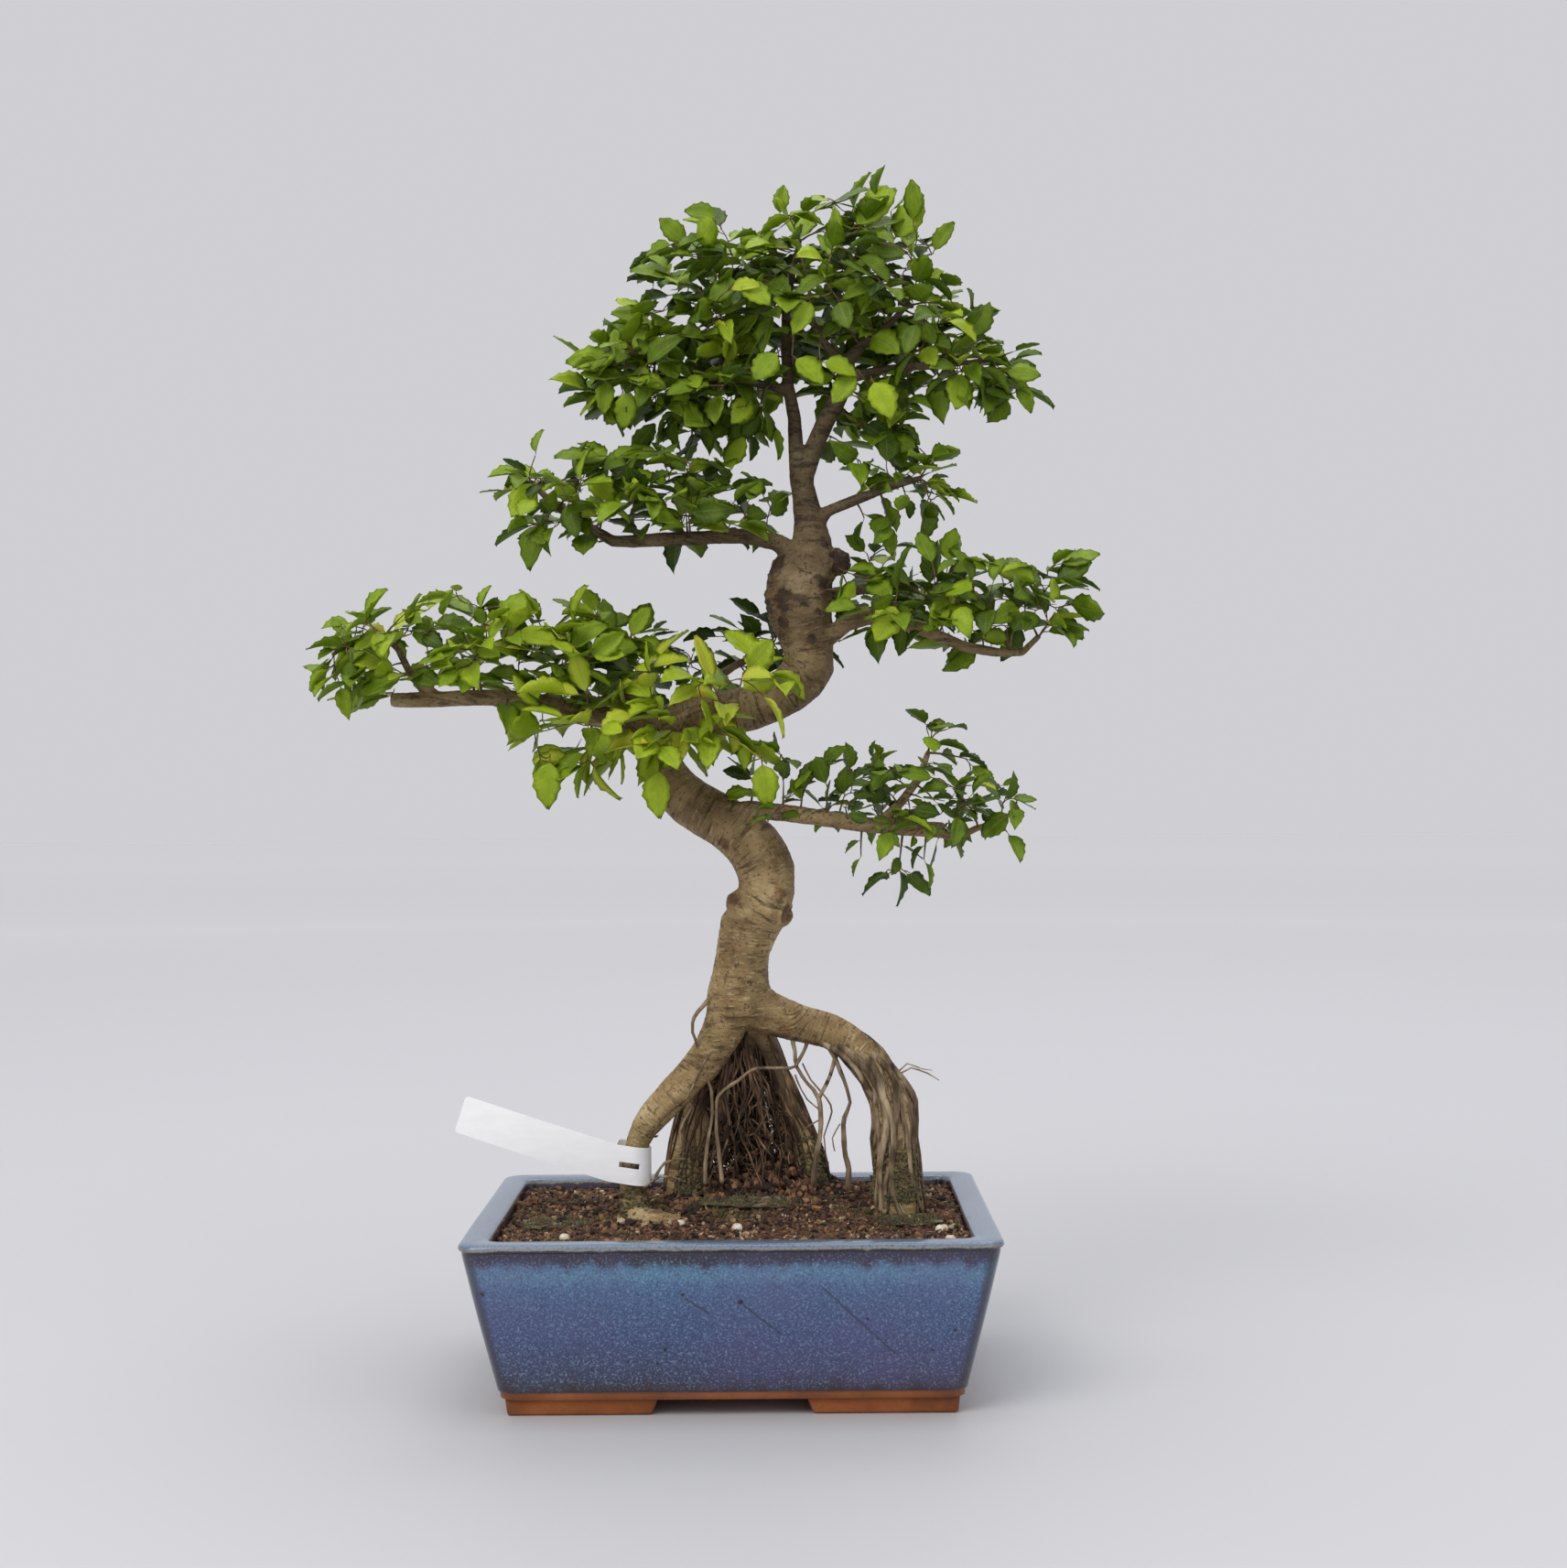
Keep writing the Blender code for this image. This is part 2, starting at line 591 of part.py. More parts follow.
def ball(name, centre, radii, divisions):
    """A faceted ellipsoid."""
    bm = bmesh.new()
    bmesh.ops.create_icosphere(bm, subdivisions=divisions, radius=1.0)
    bmesh.ops.scale(bm, vec=Vector(radii), verts=bm.verts)
    bmesh.ops.translate(bm, vec=centre, verts=bm.verts)
    return finish_mesh(bm, name)


def wood_mesh(grow, name):
    """Trunk, roots and limbs grown together, all a clearance thicker."""
    branches = []
    for label, route in LEGS.items():
        branches.append(add_cutter(label, tube(label, route, grow, THICK_STEP, 2)))
    for label, route in LIMBS.items():
        rounding = 2 if route[0][3] > THIN_LIMB else 1
        branches.append(add_cutter(label, tube(label, route, grow, THIN_STEP, rounding)))
    for x, y, z, radius in BURLS:
        size = radius * THICKER + grow
        branches.append(add_cutter("burl", ball("burl", tree(x, y, z), (size,) * 3, 1)))
    trunk = tube("trunk_stem", TRUNK, grow, THICK_STEP, 3)
    grown = combine(trunk, branches, "UNION", name, crosses_itself=True)
    for branch in branches:
        bpy.data.objects.remove(branch, do_unlink=True)
    return largest_piece(grown)


def build_trunk():
    """The living wood: one piece from the roots in the soil to the last twig."""
    wood = wood_mesh(0.0, "trunk")
    smooth_sharp(wood, 50)
    return add_part("trunk", wood, (0.21, 0.17, 0.1), 0.85)


# ---------------------------------------------------------------------- foliage
# Each pad of leaves is a cloud of lobes as (x, y, z, half x, half y, half z), millimetres.
PADS = {
    "foliage_crown_top": [
        (62, 2, 491, 50, 50, 45), (-8, 4, 478, 42, 44, 42), (28, 26, 478, 46, 44, 40),
    ],
    "foliage_crown_left": [
        (-44, 0, 441, 36, 42, 25), (-6, 2, 427, 36, 44, 23),
    ],
    "foliage_crown_right": [
        (106, 2, 457, 38, 44, 34), (132, -4, 440, 28, 32, 20), (72, 2, 425, 32, 42, 25),
    ],
    "foliage_upper_left": [
        (-86, -12, 377, 34, 38, 26), (-42, -10, 376, 38, 46, 31), (-2, -8, 376, 30, 36, 25),
    ],
    "foliage_upper_right": [
        (84, -8, 381, 34, 30, 26),
    ],
    "foliage_mid_right": [
        (76, -12, 321, 30, 34, 25), (116, -14, 320, 38, 40, 29), (154, -12, 320, 31, 34, 26),
    ],
    "foliage_low_left": [
        (-182, -10, 293, 32, 32, 28), (-142, -10, 300, 38, 40, 32),
        (-102, -8, 292, 38, 42, 32), (-68, -6, 290, 30, 40, 32),
    ],
    "foliage_low_front": [
        (-70, -38, 254, 34, 28, 26), (-32, -42, 262, 34, 26, 30), (6, -40, 268, 30, 24, 28),
    ],
    "foliage_low_right": [
        (30, -22, 224, 34, 30, 22), (74, -24, 216, 38, 36, 28), (118, -25, 214, 36, 34, 28),
        (84, -26, 192, 22, 24, 17), (101, -20, 238, 24, 28, 25),
    ],
    "foliage_back_low": [
        (-22, 60, 290, 40, 34, 28), (20, 66, 302, 36, 32, 28),
    ],
    "foliage_back_high": [
        (94, 50, 332, 40, 32, 26),
    ],
}
LEAF_GREEN = {
    "foliage_low_front": (0.3, 0.5, 0.04),
    "foliage_low_left": (0.2, 0.38, 0.04),
    "foliage_back_low": (0.07, 0.16, 0.02),
    "foliage_back_high": (0.07, 0.16, 0.02),
}


def pad_mesh(name, grow):
    """The lobes of one pad merged, all a clearance larger."""
    lobes = []
    for x, y, z, half_x, half_y, half_z in PADS[name]:
        radii = [half * TALLER + grow for half in (half_x, half_y, half_z)]
        lobes.append(ball(name, tree(x, y, z), radii, 2))
    if len(lobes) == 1:
        return lobes[0]
    tools = [add_cutter(f"{name}_lobe", mesh) for mesh in lobes[1:]]
    merged = combine(lobes[0], tools, "UNION", name)
    for tool in tools:
        bpy.data.objects.remove(tool, do_unlink=True)
    return merged


def build_foliage(wood_room):
    """Every pad, cut clear of the wood that carries it and of the pads before it."""
    taken = []
    for name in PADS:
        mesh = combine(pad_mesh(name, 0.0), [wood_room, *taken], "DIFFERENCE", name)
        mesh = largest_piece(mesh)
        smooth_sharp(mesh, 60)
        add_part(name, mesh, LEAF_GREEN.get(name, (0.13, 0.27, 0.03)), 0.6)
        taken.append(add_cutter(f"{name}_room", pad_mesh(name, GAP)))
    for tool in taken:
        bpy.data.objects.remove(tool, do_unlink=True)


# ------------------------------------------------------------------ soil toppings
# Stones and bark chips on the soil: x, y, then half sizes and turn, millimetres.
PEBBLES = [
    (-9, -78, 3.4, 2.6, 2.0, 20), (-27, -34, 3.0, 2.4, 1.8, 65), (2, -46, 3.2, 2.6, 2.2, 110),
    (105, -44, 3.6, 2.8, 2.2, 35), (108, -64, 3.0, 2.4, 1.8, 150), (-84, -52, 3.0, 2.6, 2.0, 80),
]
CHIPS = [
    (-60, -62, 6.5, 3.0, 1.3, 25), (40, -70, 6.0, 3.2, 1.4, 140), (62, 62, 6.5, 3.4, 1.4, 75),
    (-96, 30, 6.0, 3.0, 1.3, 10),
]
SUNK = 0.45                 # share of a stone's height that is bedded in the soil


def bedded(name, entry, grow):
    """A stone or chip lying part-sunk in the soil, grown outwards by a clearance."""
    drawn_x, drawn_y, *halves, turn = entry
    x, y = on_soil(drawn_x, drawn_y)
    radii = [half / 1000 + grow for half in halves]
    z = soil_height(x, y) + halves[2] / 1000 * (1 - 2 * SUNK)
    bm = bmesh.new()
    bmesh.ops.create_icosphere(bm, subdivisions=1, radius=1.0)
    bmesh.ops.scale(bm, vec=Vector(radii), verts=bm.verts)
    spin = Matrix.Rotation(math.radians(turn), 4, "Z")
    bmesh.ops.transform(bm, matrix=Matrix.Translation((x, y, z)) @ spin, verts=bm.verts)
    return finish_mesh(bm, name)


def build_toppings():
    """Pebbles and bark chips, and the sockets that they press into the soil."""
    sockets = []
    for number, entry in enumerate(PEBBLES, 1):
        name = f"pebble_{number}"
        add_part(name, bedded(name, entry, 0.0), (0.55, 0.46, 0.34), 0.7)
        sockets.append(add_cutter(f"{name}_socket", bedded(name, entry, GAP)))
    for number, entry in enumerate(CHIPS, 1):
        name = f"bark_chip_{number}"
        add_part(name, bedded(name, entry, 0.0), (0.3, 0.12, 0.04), 0.85)
        sockets.append(add_cutter(f"{name}_socket", bedded(name, entry, GAP)))
    return sockets


# Cushions of moss: x, y and half sizes, millimetres.
MOSS = {
    "moss_centre": (14, -12, 34, 17, 5.0),
    "moss_right": (88, -30, 20, 11, 4.5),
    "moss_back": (8, 62, 36, 14, 4.0),
    "moss_left": (-92, -18, 20, 16, 3.0),
}


def build_moss(wood_room):
    """Low moss cushions that follow the soil and close round the roots."""
    ground = add_cutter("ground", soil_block(GAP, "ground"))
    for name, (drawn_x, drawn_y, *halves) in MOSS.items():
        x, y = on_soil(drawn_x, drawn_y)
        radii = [half / 1000 for half in halves]
        dome = ball(name, Vector((x, y, soil_height(x, y))), radii, 2)
        mesh = combine(dome, [ground, wood_room], "DIFFERENCE", name)
        mesh = largest_piece(mesh)
        smooth_sharp(mesh, 60)
        add_part(name, mesh, (0.14, 0.17, 0.04), 0.95)
    bpy.data.objects.remove(ground, do_unlink=True)


# ------------------------------------------------------------------------- label
LABEL_STATION = (-52.5, -1.0, 26.0)   # where the left leg passes through the loop
LABEL_ROOT_RADIUS = 7.4               # the leg's largest radius inside the loop
LABEL_TURN = math.radians(300)        # how far the loop goes round
TAIL_STEPS = 10
LOOP_STEPS = 18


def label_path():
    """Middle line of the strip, from the free end of the tail to the tab."""
    centre = tree(*LABEL_STATION)
    radius = LABEL_ROOT_RADIUS * THICKER + LABEL_SLACK
    front = Vector((centre.x, centre.y - radius, centre.z))
    rise = math.tan(math.radians(LABEL_RISE))
    path = []
    for step in range(TAIL_STEPS):
        run = LABEL_TAIL * (1 - step / TAIL_STEPS)
        bow = LABEL_BOW * math.sin(math.pi * run / LABEL_TAIL)
        path.append(front + Vector((-run, -bow, run * rise)))
    for step in range(LOOP_STEPS + 1):
        angle = LABEL_TURN * step / LOOP_STEPS
        side = Vector((math.sin(angle), -math.cos(angle), 0.0)) * radius
        path.append(centre + side)
    return path


def build_label():
    """A plastic loop-lock plant label, blank, closed round the left leg."""
    path = label_path()
    bm = bmesh.new()
    bmesh.ops.create_grid(bm, x_segments=len(path) - 1, y_segments=1, size=0.5)
    last = len(path) - 1
    for vertex in bm.verts:
        index = round((vertex.co.x + 0.5) * last)
        side = 1 if vertex.co.y > 0 else -1
        ahead = path[min(index + 1, last)] - path[max(index - 1, 0)]
        across = Vector((-ahead.z * ahead.normalized().x, 0.0, ahead.xy.length)).normalized()
        width = LABEL_TAB if index >= last - 1 else LABEL_WIDTH
        vertex.co = path[index] + across * side * width / 2
    strip = finish_mesh(bm, "plant_label")
    holder = add_cutter("label_strip", strip)
    thick = holder.modifiers.new("thickness", "SOLIDIFY")
    thick.thickness = LABEL_THICKNESS
    thick.offset = 0.0
    solid = evaluated_mesh(holder)
    bpy.data.objects.remove(holder, do_unlink=True)
    slot_size = (SLOT_WIDTH, LABEL_WIDTH, SLOT_LENGTH)
    slot_centre = path[TAIL_STEPS - 1] + Vector((SLOT_WIDTH, 0.0, 0.0))
    slot = add_cutter("label_slot", box("label_slot", slot_size, slot_centre))
    solid = combine(solid, [slot], "DIFFERENCE", "plant_label")
    bpy.data.objects.remove(slot, do_unlink=True)
    return add_part("plant_label", solid, (0.85, 0.85, 0.83), 0.4)


# ---------------------------------------------------------------------- assembly
def stand_on_origin():
    """Shift everything so that the plan box is centred on the origin."""
    bpy.context.view_layer.update()
    corners = [
        part.matrix_world @ vertex.co for part in PARTS.objects for vertex in part.data.vertices
    ]
    middle_x = (min(c.x for c in corners) + max(c.x for c in corners)) / 2
    middle_y = (min(c.y for c in corners) + max(c.y for c in corners)) / 2
    stand = bpy.data.objects.new("stand_point", None)
    bpy.context.scene.collection.objects.link(stand)
    for part in [*PARTS.objects, *CUTTERS.objects]:
        part.parent = stand
    stand.location = (-middle_x, -middle_y, 0.0)
    bpy.context.view_layer.update()
    print(f"pot centre at x {-middle_x:.5f} y {-middle_y:.5f}")


def main():
    """Build every piece, those that others are cut clear of first."""
    build_pot()
    build_trunk()
    wood_room = add_cutter("wood_room", wood_mesh(GAP, "wood_room"))
    build_foliage(wood_room)
    sockets = build_toppings()
    for side, name in ((-1, "drain_screen_left"), (1, "drain_screen_right")):
        build_screen(name, side)
        sockets.append(add_cutter(f"{name}_pocket", screen_pocket(side)))
    build_soil([wood_room, *sockets])
    build_moss(wood_room)
    build_label()
    stand_on_origin()


main()
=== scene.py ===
# %% [markdown]
# # A bonsai elm in a glazed pot
#
# The solid model behind this scene already fixes where everything is: the pot, the
# soil, the wood and a plain closed solid for each pad of leaves. This file keeps that
# frame and makes the looks: bark that wrinkles round the bends, a hanging curtain of
# fine roots, leaves grown one by one on twigs, a mottled glaze and crumbly soil.
# It is read from top to bottom, one piece of the tree at a time.

# %% Load the frame
import math
import random

import bmesh
import bpy
from mathutils import Matrix, Quaternion, Vector, noise
from mathutils.bvhtree import BVHTree
from mathutils.kdtree import KDTree


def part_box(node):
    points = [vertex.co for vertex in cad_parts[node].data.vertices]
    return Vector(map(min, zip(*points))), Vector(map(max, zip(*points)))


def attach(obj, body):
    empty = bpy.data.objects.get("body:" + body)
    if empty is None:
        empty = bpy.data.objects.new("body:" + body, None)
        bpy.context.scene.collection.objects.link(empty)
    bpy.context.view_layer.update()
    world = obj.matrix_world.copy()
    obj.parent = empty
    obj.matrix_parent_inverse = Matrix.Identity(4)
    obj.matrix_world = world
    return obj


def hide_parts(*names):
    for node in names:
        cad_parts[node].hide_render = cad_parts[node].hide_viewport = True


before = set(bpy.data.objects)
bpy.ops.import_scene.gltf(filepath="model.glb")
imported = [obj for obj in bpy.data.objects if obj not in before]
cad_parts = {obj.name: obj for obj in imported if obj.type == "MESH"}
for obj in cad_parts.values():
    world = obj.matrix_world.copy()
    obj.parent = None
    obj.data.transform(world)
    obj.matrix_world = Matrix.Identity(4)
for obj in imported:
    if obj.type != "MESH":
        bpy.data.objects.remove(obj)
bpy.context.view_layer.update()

# %% [markdown]
# ## Where things are
#
# A maker measures from the pot, because the pot is the only piece with straight
# edges. The tree was drawn in millimetres from the middle of the pot, with heights
# from the line where the soil meets the wall. One small function turns such a
# drawn point into the frame's metres, and everything below uses it.

# %% Measure the pot and the soil line
MM = 0.001
pot_low, pot_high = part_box("pot")
soil_low, soil_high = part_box("soil")
POT_MIDDLE = (pot_low + pot_high) / 2
POT_TOP = pot_high.z
SOIL_LINE = POT_TOP - 4 * MM


def tree_point(x, y, z):
    """A drawn point of the tree, in metres in the frame."""
    return Vector((POT_MIDDLE.x + x * MM, POT_MIDDLE.y + y * MM, SOIL_LINE + z * MM))


print("pot", [round(v, 4) for v in (pot_high - pot_low)], "soil line", round(SOIL_LINE, 4))

# %% [markdown]
# ## Camera, floor and light
#
# The tree is seen from just above the rim, level and square to the long side, from a
# little over a metre, which keeps the pot's sides nearly parallel. The camera rolls
# by less than half a degree, as a hand-levelled tripod does. A pale floor and a few
# large soft lamps act as an overcast sky: bonsai are judged in such light, because
# hard shadows hide the leaf pads.

# %% Set up the camera
CAMERA_LENS = 52.9
CAMERA_PLACE = Vector((POT_MIDDLE.x + 27 * MM, POT_MIDDLE.y - 1.203, 0.307))
CAMERA_ROLL = math.radians(0.42)

camera_data = bpy.data.cameras.new("camera")
camera_data.lens = CAMERA_LENS
camera_data.sensor_width = 36
camera = bpy.data.objects.new("camera", camera_data)
bpy.context.scene.collection.objects.link(camera)
camera.location = CAMERA_PLACE
camera.rotation_euler = (math.radians(90), CAMERA_ROLL, 0)
bpy.context.scene.camera = camera
print("camera", [round(v, 3) for v in camera.location], "lens", CAMERA_LENS)


# %% Lay the floor
FLOOR_HALF = 12
FLOOR_GAP = 0.2 * MM


def make_floor():
    """A large pale tabletop, just under the feet."""
    bm = bmesh.new()
    bmesh.ops.create_grid(bm, x_segments=1, y_segments=1, size=FLOOR_HALF)
    bmesh.ops.translate(bm, vec=(0, 0, -FLOOR_GAP), verts=bm.verts)
    mesh = bpy.data.meshes.new("floor")
    bm.to_mesh(mesh)
    bm.free()
    floor = bpy.data.objects.new("floor", mesh)
    bpy.context.scene.collection.objects.link(floor)
    return floor


floor = make_floor()
print("floor", 2 * FLOOR_HALF, "m wide")


# %% Hang the lamps under a pale sky
SKY_COLOUR = (0.82, 0.82, 0.86, 1)
SKY_STRENGTH = 0.76


def lamp(name, size, power, place, target, colour=(1, 1, 1)):
    """A large square lamp that points at a target."""
    data = bpy.data.lights.new(name, "AREA")
    data.shape = "SQUARE"
    data.size = size
    data.energy = power
    data.color = colour
    light = bpy.data.objects.new(name, data)
    bpy.context.scene.collection.objects.link(light)
    light.location = place
    light.rotation_euler = (Vector(target) - Vector(place)).to_track_quat("-Z", "Y").to_euler()


crown_middle = tree_point(30, 0, 300)
lamp("key", 1.3, 30, (-1.0, -1.5, 1.9), crown_middle, (1.0, 0.985, 0.95))
lamp("fill", 1.8, 8, (1.9, -1.45, 1.5), crown_middle, (0.95, 0.97, 1.0))
lamp("top", 1.6, 17, (0.1, 0.2, 2.3), crown_middle)
lamp("back", 1.4, 9, (0.5, 1.9, 2.6), crown_middle, (0.97, 0.98, 1.0))

world = bpy.data.worlds.new("overcast")
bpy.context.scene.world = world
world.use_nodes = True
sky = world.node_tree.nodes["Background"]
sky.inputs["Color"].default_value = SKY_COLOUR
sky.inputs["Strength"].default_value = SKY_STRENGTH
bpy.context.scene.view_settings.view_transform = "Standard"
print("lamps", [light.name for light in bpy.data.lights])

# %% [markdown]
# ## A few words for building finishes
#
# Every finish is a Principled shader with noise on its colour, roughness and bump.
# Wiring nodes by hand takes many lines, so a small class keeps it short: it adds a
# node and fills its sockets, does sums, mixes colours, and turns a value into a
# colour through a ramp. Patterns read Object coordinates in metres, so the scale of
# a noise is in features per metre.


# %% Helpers for finishes
class Finish:
    """A material under construction."""

    def __init__(self, name, **constants):
        self.material = bpy.data.materials.new(name)
        self.material.use_nodes = True
        self.tree = self.material.node_tree
        self.shader = self.tree.nodes["Principled BSDF"]
        for socket, value in constants.items():
            self.shader.inputs[socket.replace("_", " ")].default_value = value
        self.place = self.add("ShaderNodeTexCoord").outputs["Object"]

    def add(self, kind, values=None, **settings):
        """Add a node, set its options, then fill or link its sockets."""
        node = self.tree.nodes.new(kind)
        for key, value in settings.items():
            setattr(node, key, value)
        for socket, value in (values or {}).items():
            if isinstance(value, bpy.types.NodeSocket):
                self.tree.links.new(value, node.inputs[socket])
            else:
                node.inputs[socket].default_value = value
        return node

    def noise(self, scale, detail=4, roughness=0.55, at=None, stretch=(1, 1, 1), shift=(0, 0, 0)):
        """Noise between 0 and 1, features per metre, stretched or shifted if asked."""
        where = at or self.place
        if stretch != (1, 1, 1) or shift != (0, 0, 0):
            mapping = {"Vector": where, "Scale": stretch, "Location": shift}
            where = self.add("ShaderNodeMapping", mapping).outputs[0]
        values = {"Vector": where, "Scale": scale, "Detail": detail, "Roughness": roughness}
        return self.add("ShaderNodeTexNoise", values).outputs["Fac"]

    def cells(self, scale):
        """Distance to the nearest of many scattered points."""
        values = {"Vector": self.place, "Scale": scale}
        return self.add("ShaderNodeTexVoronoi", values).outputs["Distance"]

    def span(self, value, low, high, out_low=0.0, out_high=1.0):
        """Map low..high of a value to out_low..out_high, clamped."""
        values = {"Value": value, "From Min": low, "From Max": high,
                  "To Min": out_low, "To Max": out_high}
        return self.add("ShaderNodeMapRange", values).outputs["Result"]

    def ramp(self, value, stops):
        """Colour from a value through stops of (position, colour)."""
        node = self.add("ShaderNodeValToRGB", {"Fac": value})
        ends = node.color_ramp.elements
        while len(ends) < len(stops):
            ends.new(0.5)
        for end, (position, colour) in zip(ends, stops):
            end.position = position
            end.color = (*colour, 1)
        return node.outputs["Color"]

    def mix(self, factor, one, two, blend="MIX"):
        """Mix two colours."""
        node = self.add("ShaderNodeMix", data_type="RGBA", blend_type=blend)
        for index, value in ((0, factor), (6, one), (7, two)):
            socket = node.inputs[index]
            if isinstance(value, bpy.types.NodeSocket):
                self.tree.links.new(value, socket)
            elif index == 0:
                socket.default_value = value
            else:
                socket.default_value = (*value, 1)
        return node.outputs[2]

    def maths(self, operation, one, two=0.0, three=0.0):
        """One step of arithmetic."""
        node = self.add("ShaderNodeMath", operation=operation)
        for socket, value in zip(node.inputs, (one, two, three)):
            if isinstance(value, bpy.types.NodeSocket):
                self.tree.links.new(value, socket)
            else:
                socket.default_value = value
        return node.outputs[0]

    def axis(self, name, at=None):
        """One coordinate of a position."""
        return self.add("ShaderNodeSeparateXYZ", {"Vector": at or self.place}).outputs[name]

    def attribute(self, name):
        """A value stored on the mesh."""
        return self.add("ShaderNodeAttribute", attribute_name=name).outputs["Fac"]

    def apart(self, one, two):
        """Distance between two positions."""
        node = self.add("ShaderNodeVectorMath", {0: one, 1: two}, operation="DISTANCE")
        return node.outputs["Value"]

    def link(self, **sockets):
        """Feed the shader."""
        for name, value in sockets.items():
            self.tree.links.new(value, self.shader.inputs[name.replace("_", " ")])
        return self

    def bump(self, height, distance, strength=1.0):
        """Raise the surface by a height map, distance in metres."""
        values = {"Height": height, "Distance": distance, "Strength": strength}
        return self.link(Normal=self.add("ShaderNodeBump", values).outputs["Normal"])


print("finish helpers ready")


# %% Finish the floor
def make_floor_finish():
    """Pale matt board, faintly cloudy, painted darker near the middle and lighter far off, as painted
    light.
    """
    board = Finish("pale_board", Roughness=0.6)
    # Painted light: the board is darker near the middle, where the lamps light it most, and lighter
    # far off, where their light falls away, so the floor looks even.
    away = board.add("ShaderNodeVectorMath", {0: board.place}, operation="LENGTH").outputs["Value"]
    cloud = board.noise(3.0, 3)
    reach = board.maths("ADD", away, board.maths("MULTIPLY", cloud, 0.1))
    board.link(Base_Color=board.ramp(board.span(reach, 0.1, 8.0), [
        (0.0, (0.50, 0.50, 0.515)), (0.16, (0.62, 0.62, 0.64)), (0.50, (0.93, 0.93, 0.94)),
        (1.0, (0.99, 0.99, 0.995))]))
    return board.material


floor.data.materials.append(make_floor_finish())
print("finish", floor.data.materials[0].name)

# %% [markdown]
# ## Mesh helpers
#
# Pieces are grown in a bmesh and handed over by one function, which gives them their
# finish, smooths the shading where the real thing is smooth, hangs each piece on the
# body that carries it and hides the plain solid it stands for.
# A stem, which serves for twigs and roots alike, is a small disc extruded step by step
# along its path and turned at each step, so it never pinches in a bend.


# %% Hand a piece over
def hand_over(name, bm, finish, stands_for, smooth=True):
    """Turn a bmesh into a finished piece that rides on the pot."""
    mesh = bpy.data.meshes.new(name)
    bm.to_mesh(mesh)
    bm.free()
    return place_piece(name, mesh, finish, stands_for, smooth)


def place_piece(name, mesh, finish, stands_for, smooth=True):
    """Show a mesh as a piece of the object."""
    mesh.materials.clear()
    mesh.materials.append(finish)
    if smooth:
        mesh.shade_smooth()
    piece = bpy.data.objects.new(name, mesh)
    bpy.context.scene.collection.objects.link(piece)
    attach(piece, "root")
    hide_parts(*stands_for)
    print(f"{name}: {len(mesh.polygons)} faces")
    return piece


print("solids to stand for", len(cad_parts))


# %% Copy solids, run modifiers and make noise
def merged_copy(node):
    """A bmesh of a solid's surface, with its loose triangles joined up."""
    bm = bmesh.new()
    bm.from_mesh(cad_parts[node].data)
    bmesh.ops.remove_doubles(bm, verts=bm.verts, dist=1e-5)
    return bm


def applied(bm, name, *modifiers):
    """Run modifiers given as (type, settings) on a bmesh and return the new mesh."""
    mesh = bpy.data.meshes.new(name)
    bm.to_mesh(mesh)
    bm.free()
    holder = bpy.data.objects.new(name, mesh)
    bpy.context.scene.collection.objects.link(holder)
    for kind, settings in modifiers:
        step = holder.modifiers.new(kind.lower(), kind)
        for key, value in settings.items():
            setattr(step, key, value)
    bpy.context.view_layer.update()
    evaluated = holder.evaluated_get(bpy.context.evaluated_depsgraph_get())
    result = bpy.data.meshes.new_from_object(evaluated)
    bpy.data.objects.remove(holder, do_unlink=True)
    return result


def hill(place, scale, seed=0.0):
    """Smooth noise between about -1 and 1 with the given feature size in metres."""
    return noise.noise(place / scale + Vector((seed, seed * 1.7, seed * 0.6)))


print("faces of the pot's solid", len(merged_copy("pot").faces))


# %% Grow a stem along a route
def smooth_route(points, spacing):
    """Positions and radii about one spacing apart on a curve through a route."""
    ends = [points[0], *points, points[-1]]
    made = []
    for a, b, c, d in zip(ends, ends[1:], ends[2:], ends[3:]):
        count = max(1, round(math.dist(b[:3], c[:3]) / spacing))
        for step in range(count):
            t = step / count
            made.append([
                0.5 * (2 * q + (r - p) * t + (2 * p - 5 * q + 4 * r - s) * t * t
                       + (3 * q - p - 3 * r + s) * t * t * t)
                for p, q, r, s in zip(a, b, c, d)
            ])
    made.append(list(points[-1]))
    return made


def add_stem(bm, path, sides=5):
    """Append a closed stem that follows (position, radius) pairs, one extrusion a step."""
    stem = bmesh.new()
    start, radius = path[0]
    ahead = (path[1][0] - start).normalized()
    stand = Matrix.Translation(start) @ ahead.to_track_quat("Z", "Y").to_matrix().to_4x4()
    bmesh.ops.create_circle(stem, cap_ends=True, radius=radius, segments=sides, matrix=stand)
    stem.faces.ensure_lookup_table()
    face = stem.faces[0]
    for index in range(1, len(path)):
        before, place = path[index - 1], path[index]
        after = path[min(index + 1, len(path) - 1)][0]
        heading = (after - before[0]).normalized()
        swing = ahead.rotation_difference(heading)
        made = bmesh.ops.extrude_face_region(stem, geom=[face], use_keep_orig=index == 1)
        face = next(g for g in made["geom"] if isinstance(g, bmesh.types.BMFace))
        for vertex in face.verts:
            vertex.co = place[0] + swing @ (vertex.co - before[0]) * (place[1] / before[1])
        ahead = heading
    bmesh.ops.recalc_face_normals(stem, faces=stem.faces)
    append(bm, stem)


def append(bm, extra):
    """Move one bmesh into another."""
    scrap = bpy.data.meshes.new("scrap")
    extra.to_mesh(scrap)
    extra.free()
    bm.from_mesh(scrap)
    bpy.data.meshes.remove(scrap)


print("points of a 10 mm route", len(smooth_route([(0, 0, 0), (0, 0, 10)], 1.0)))

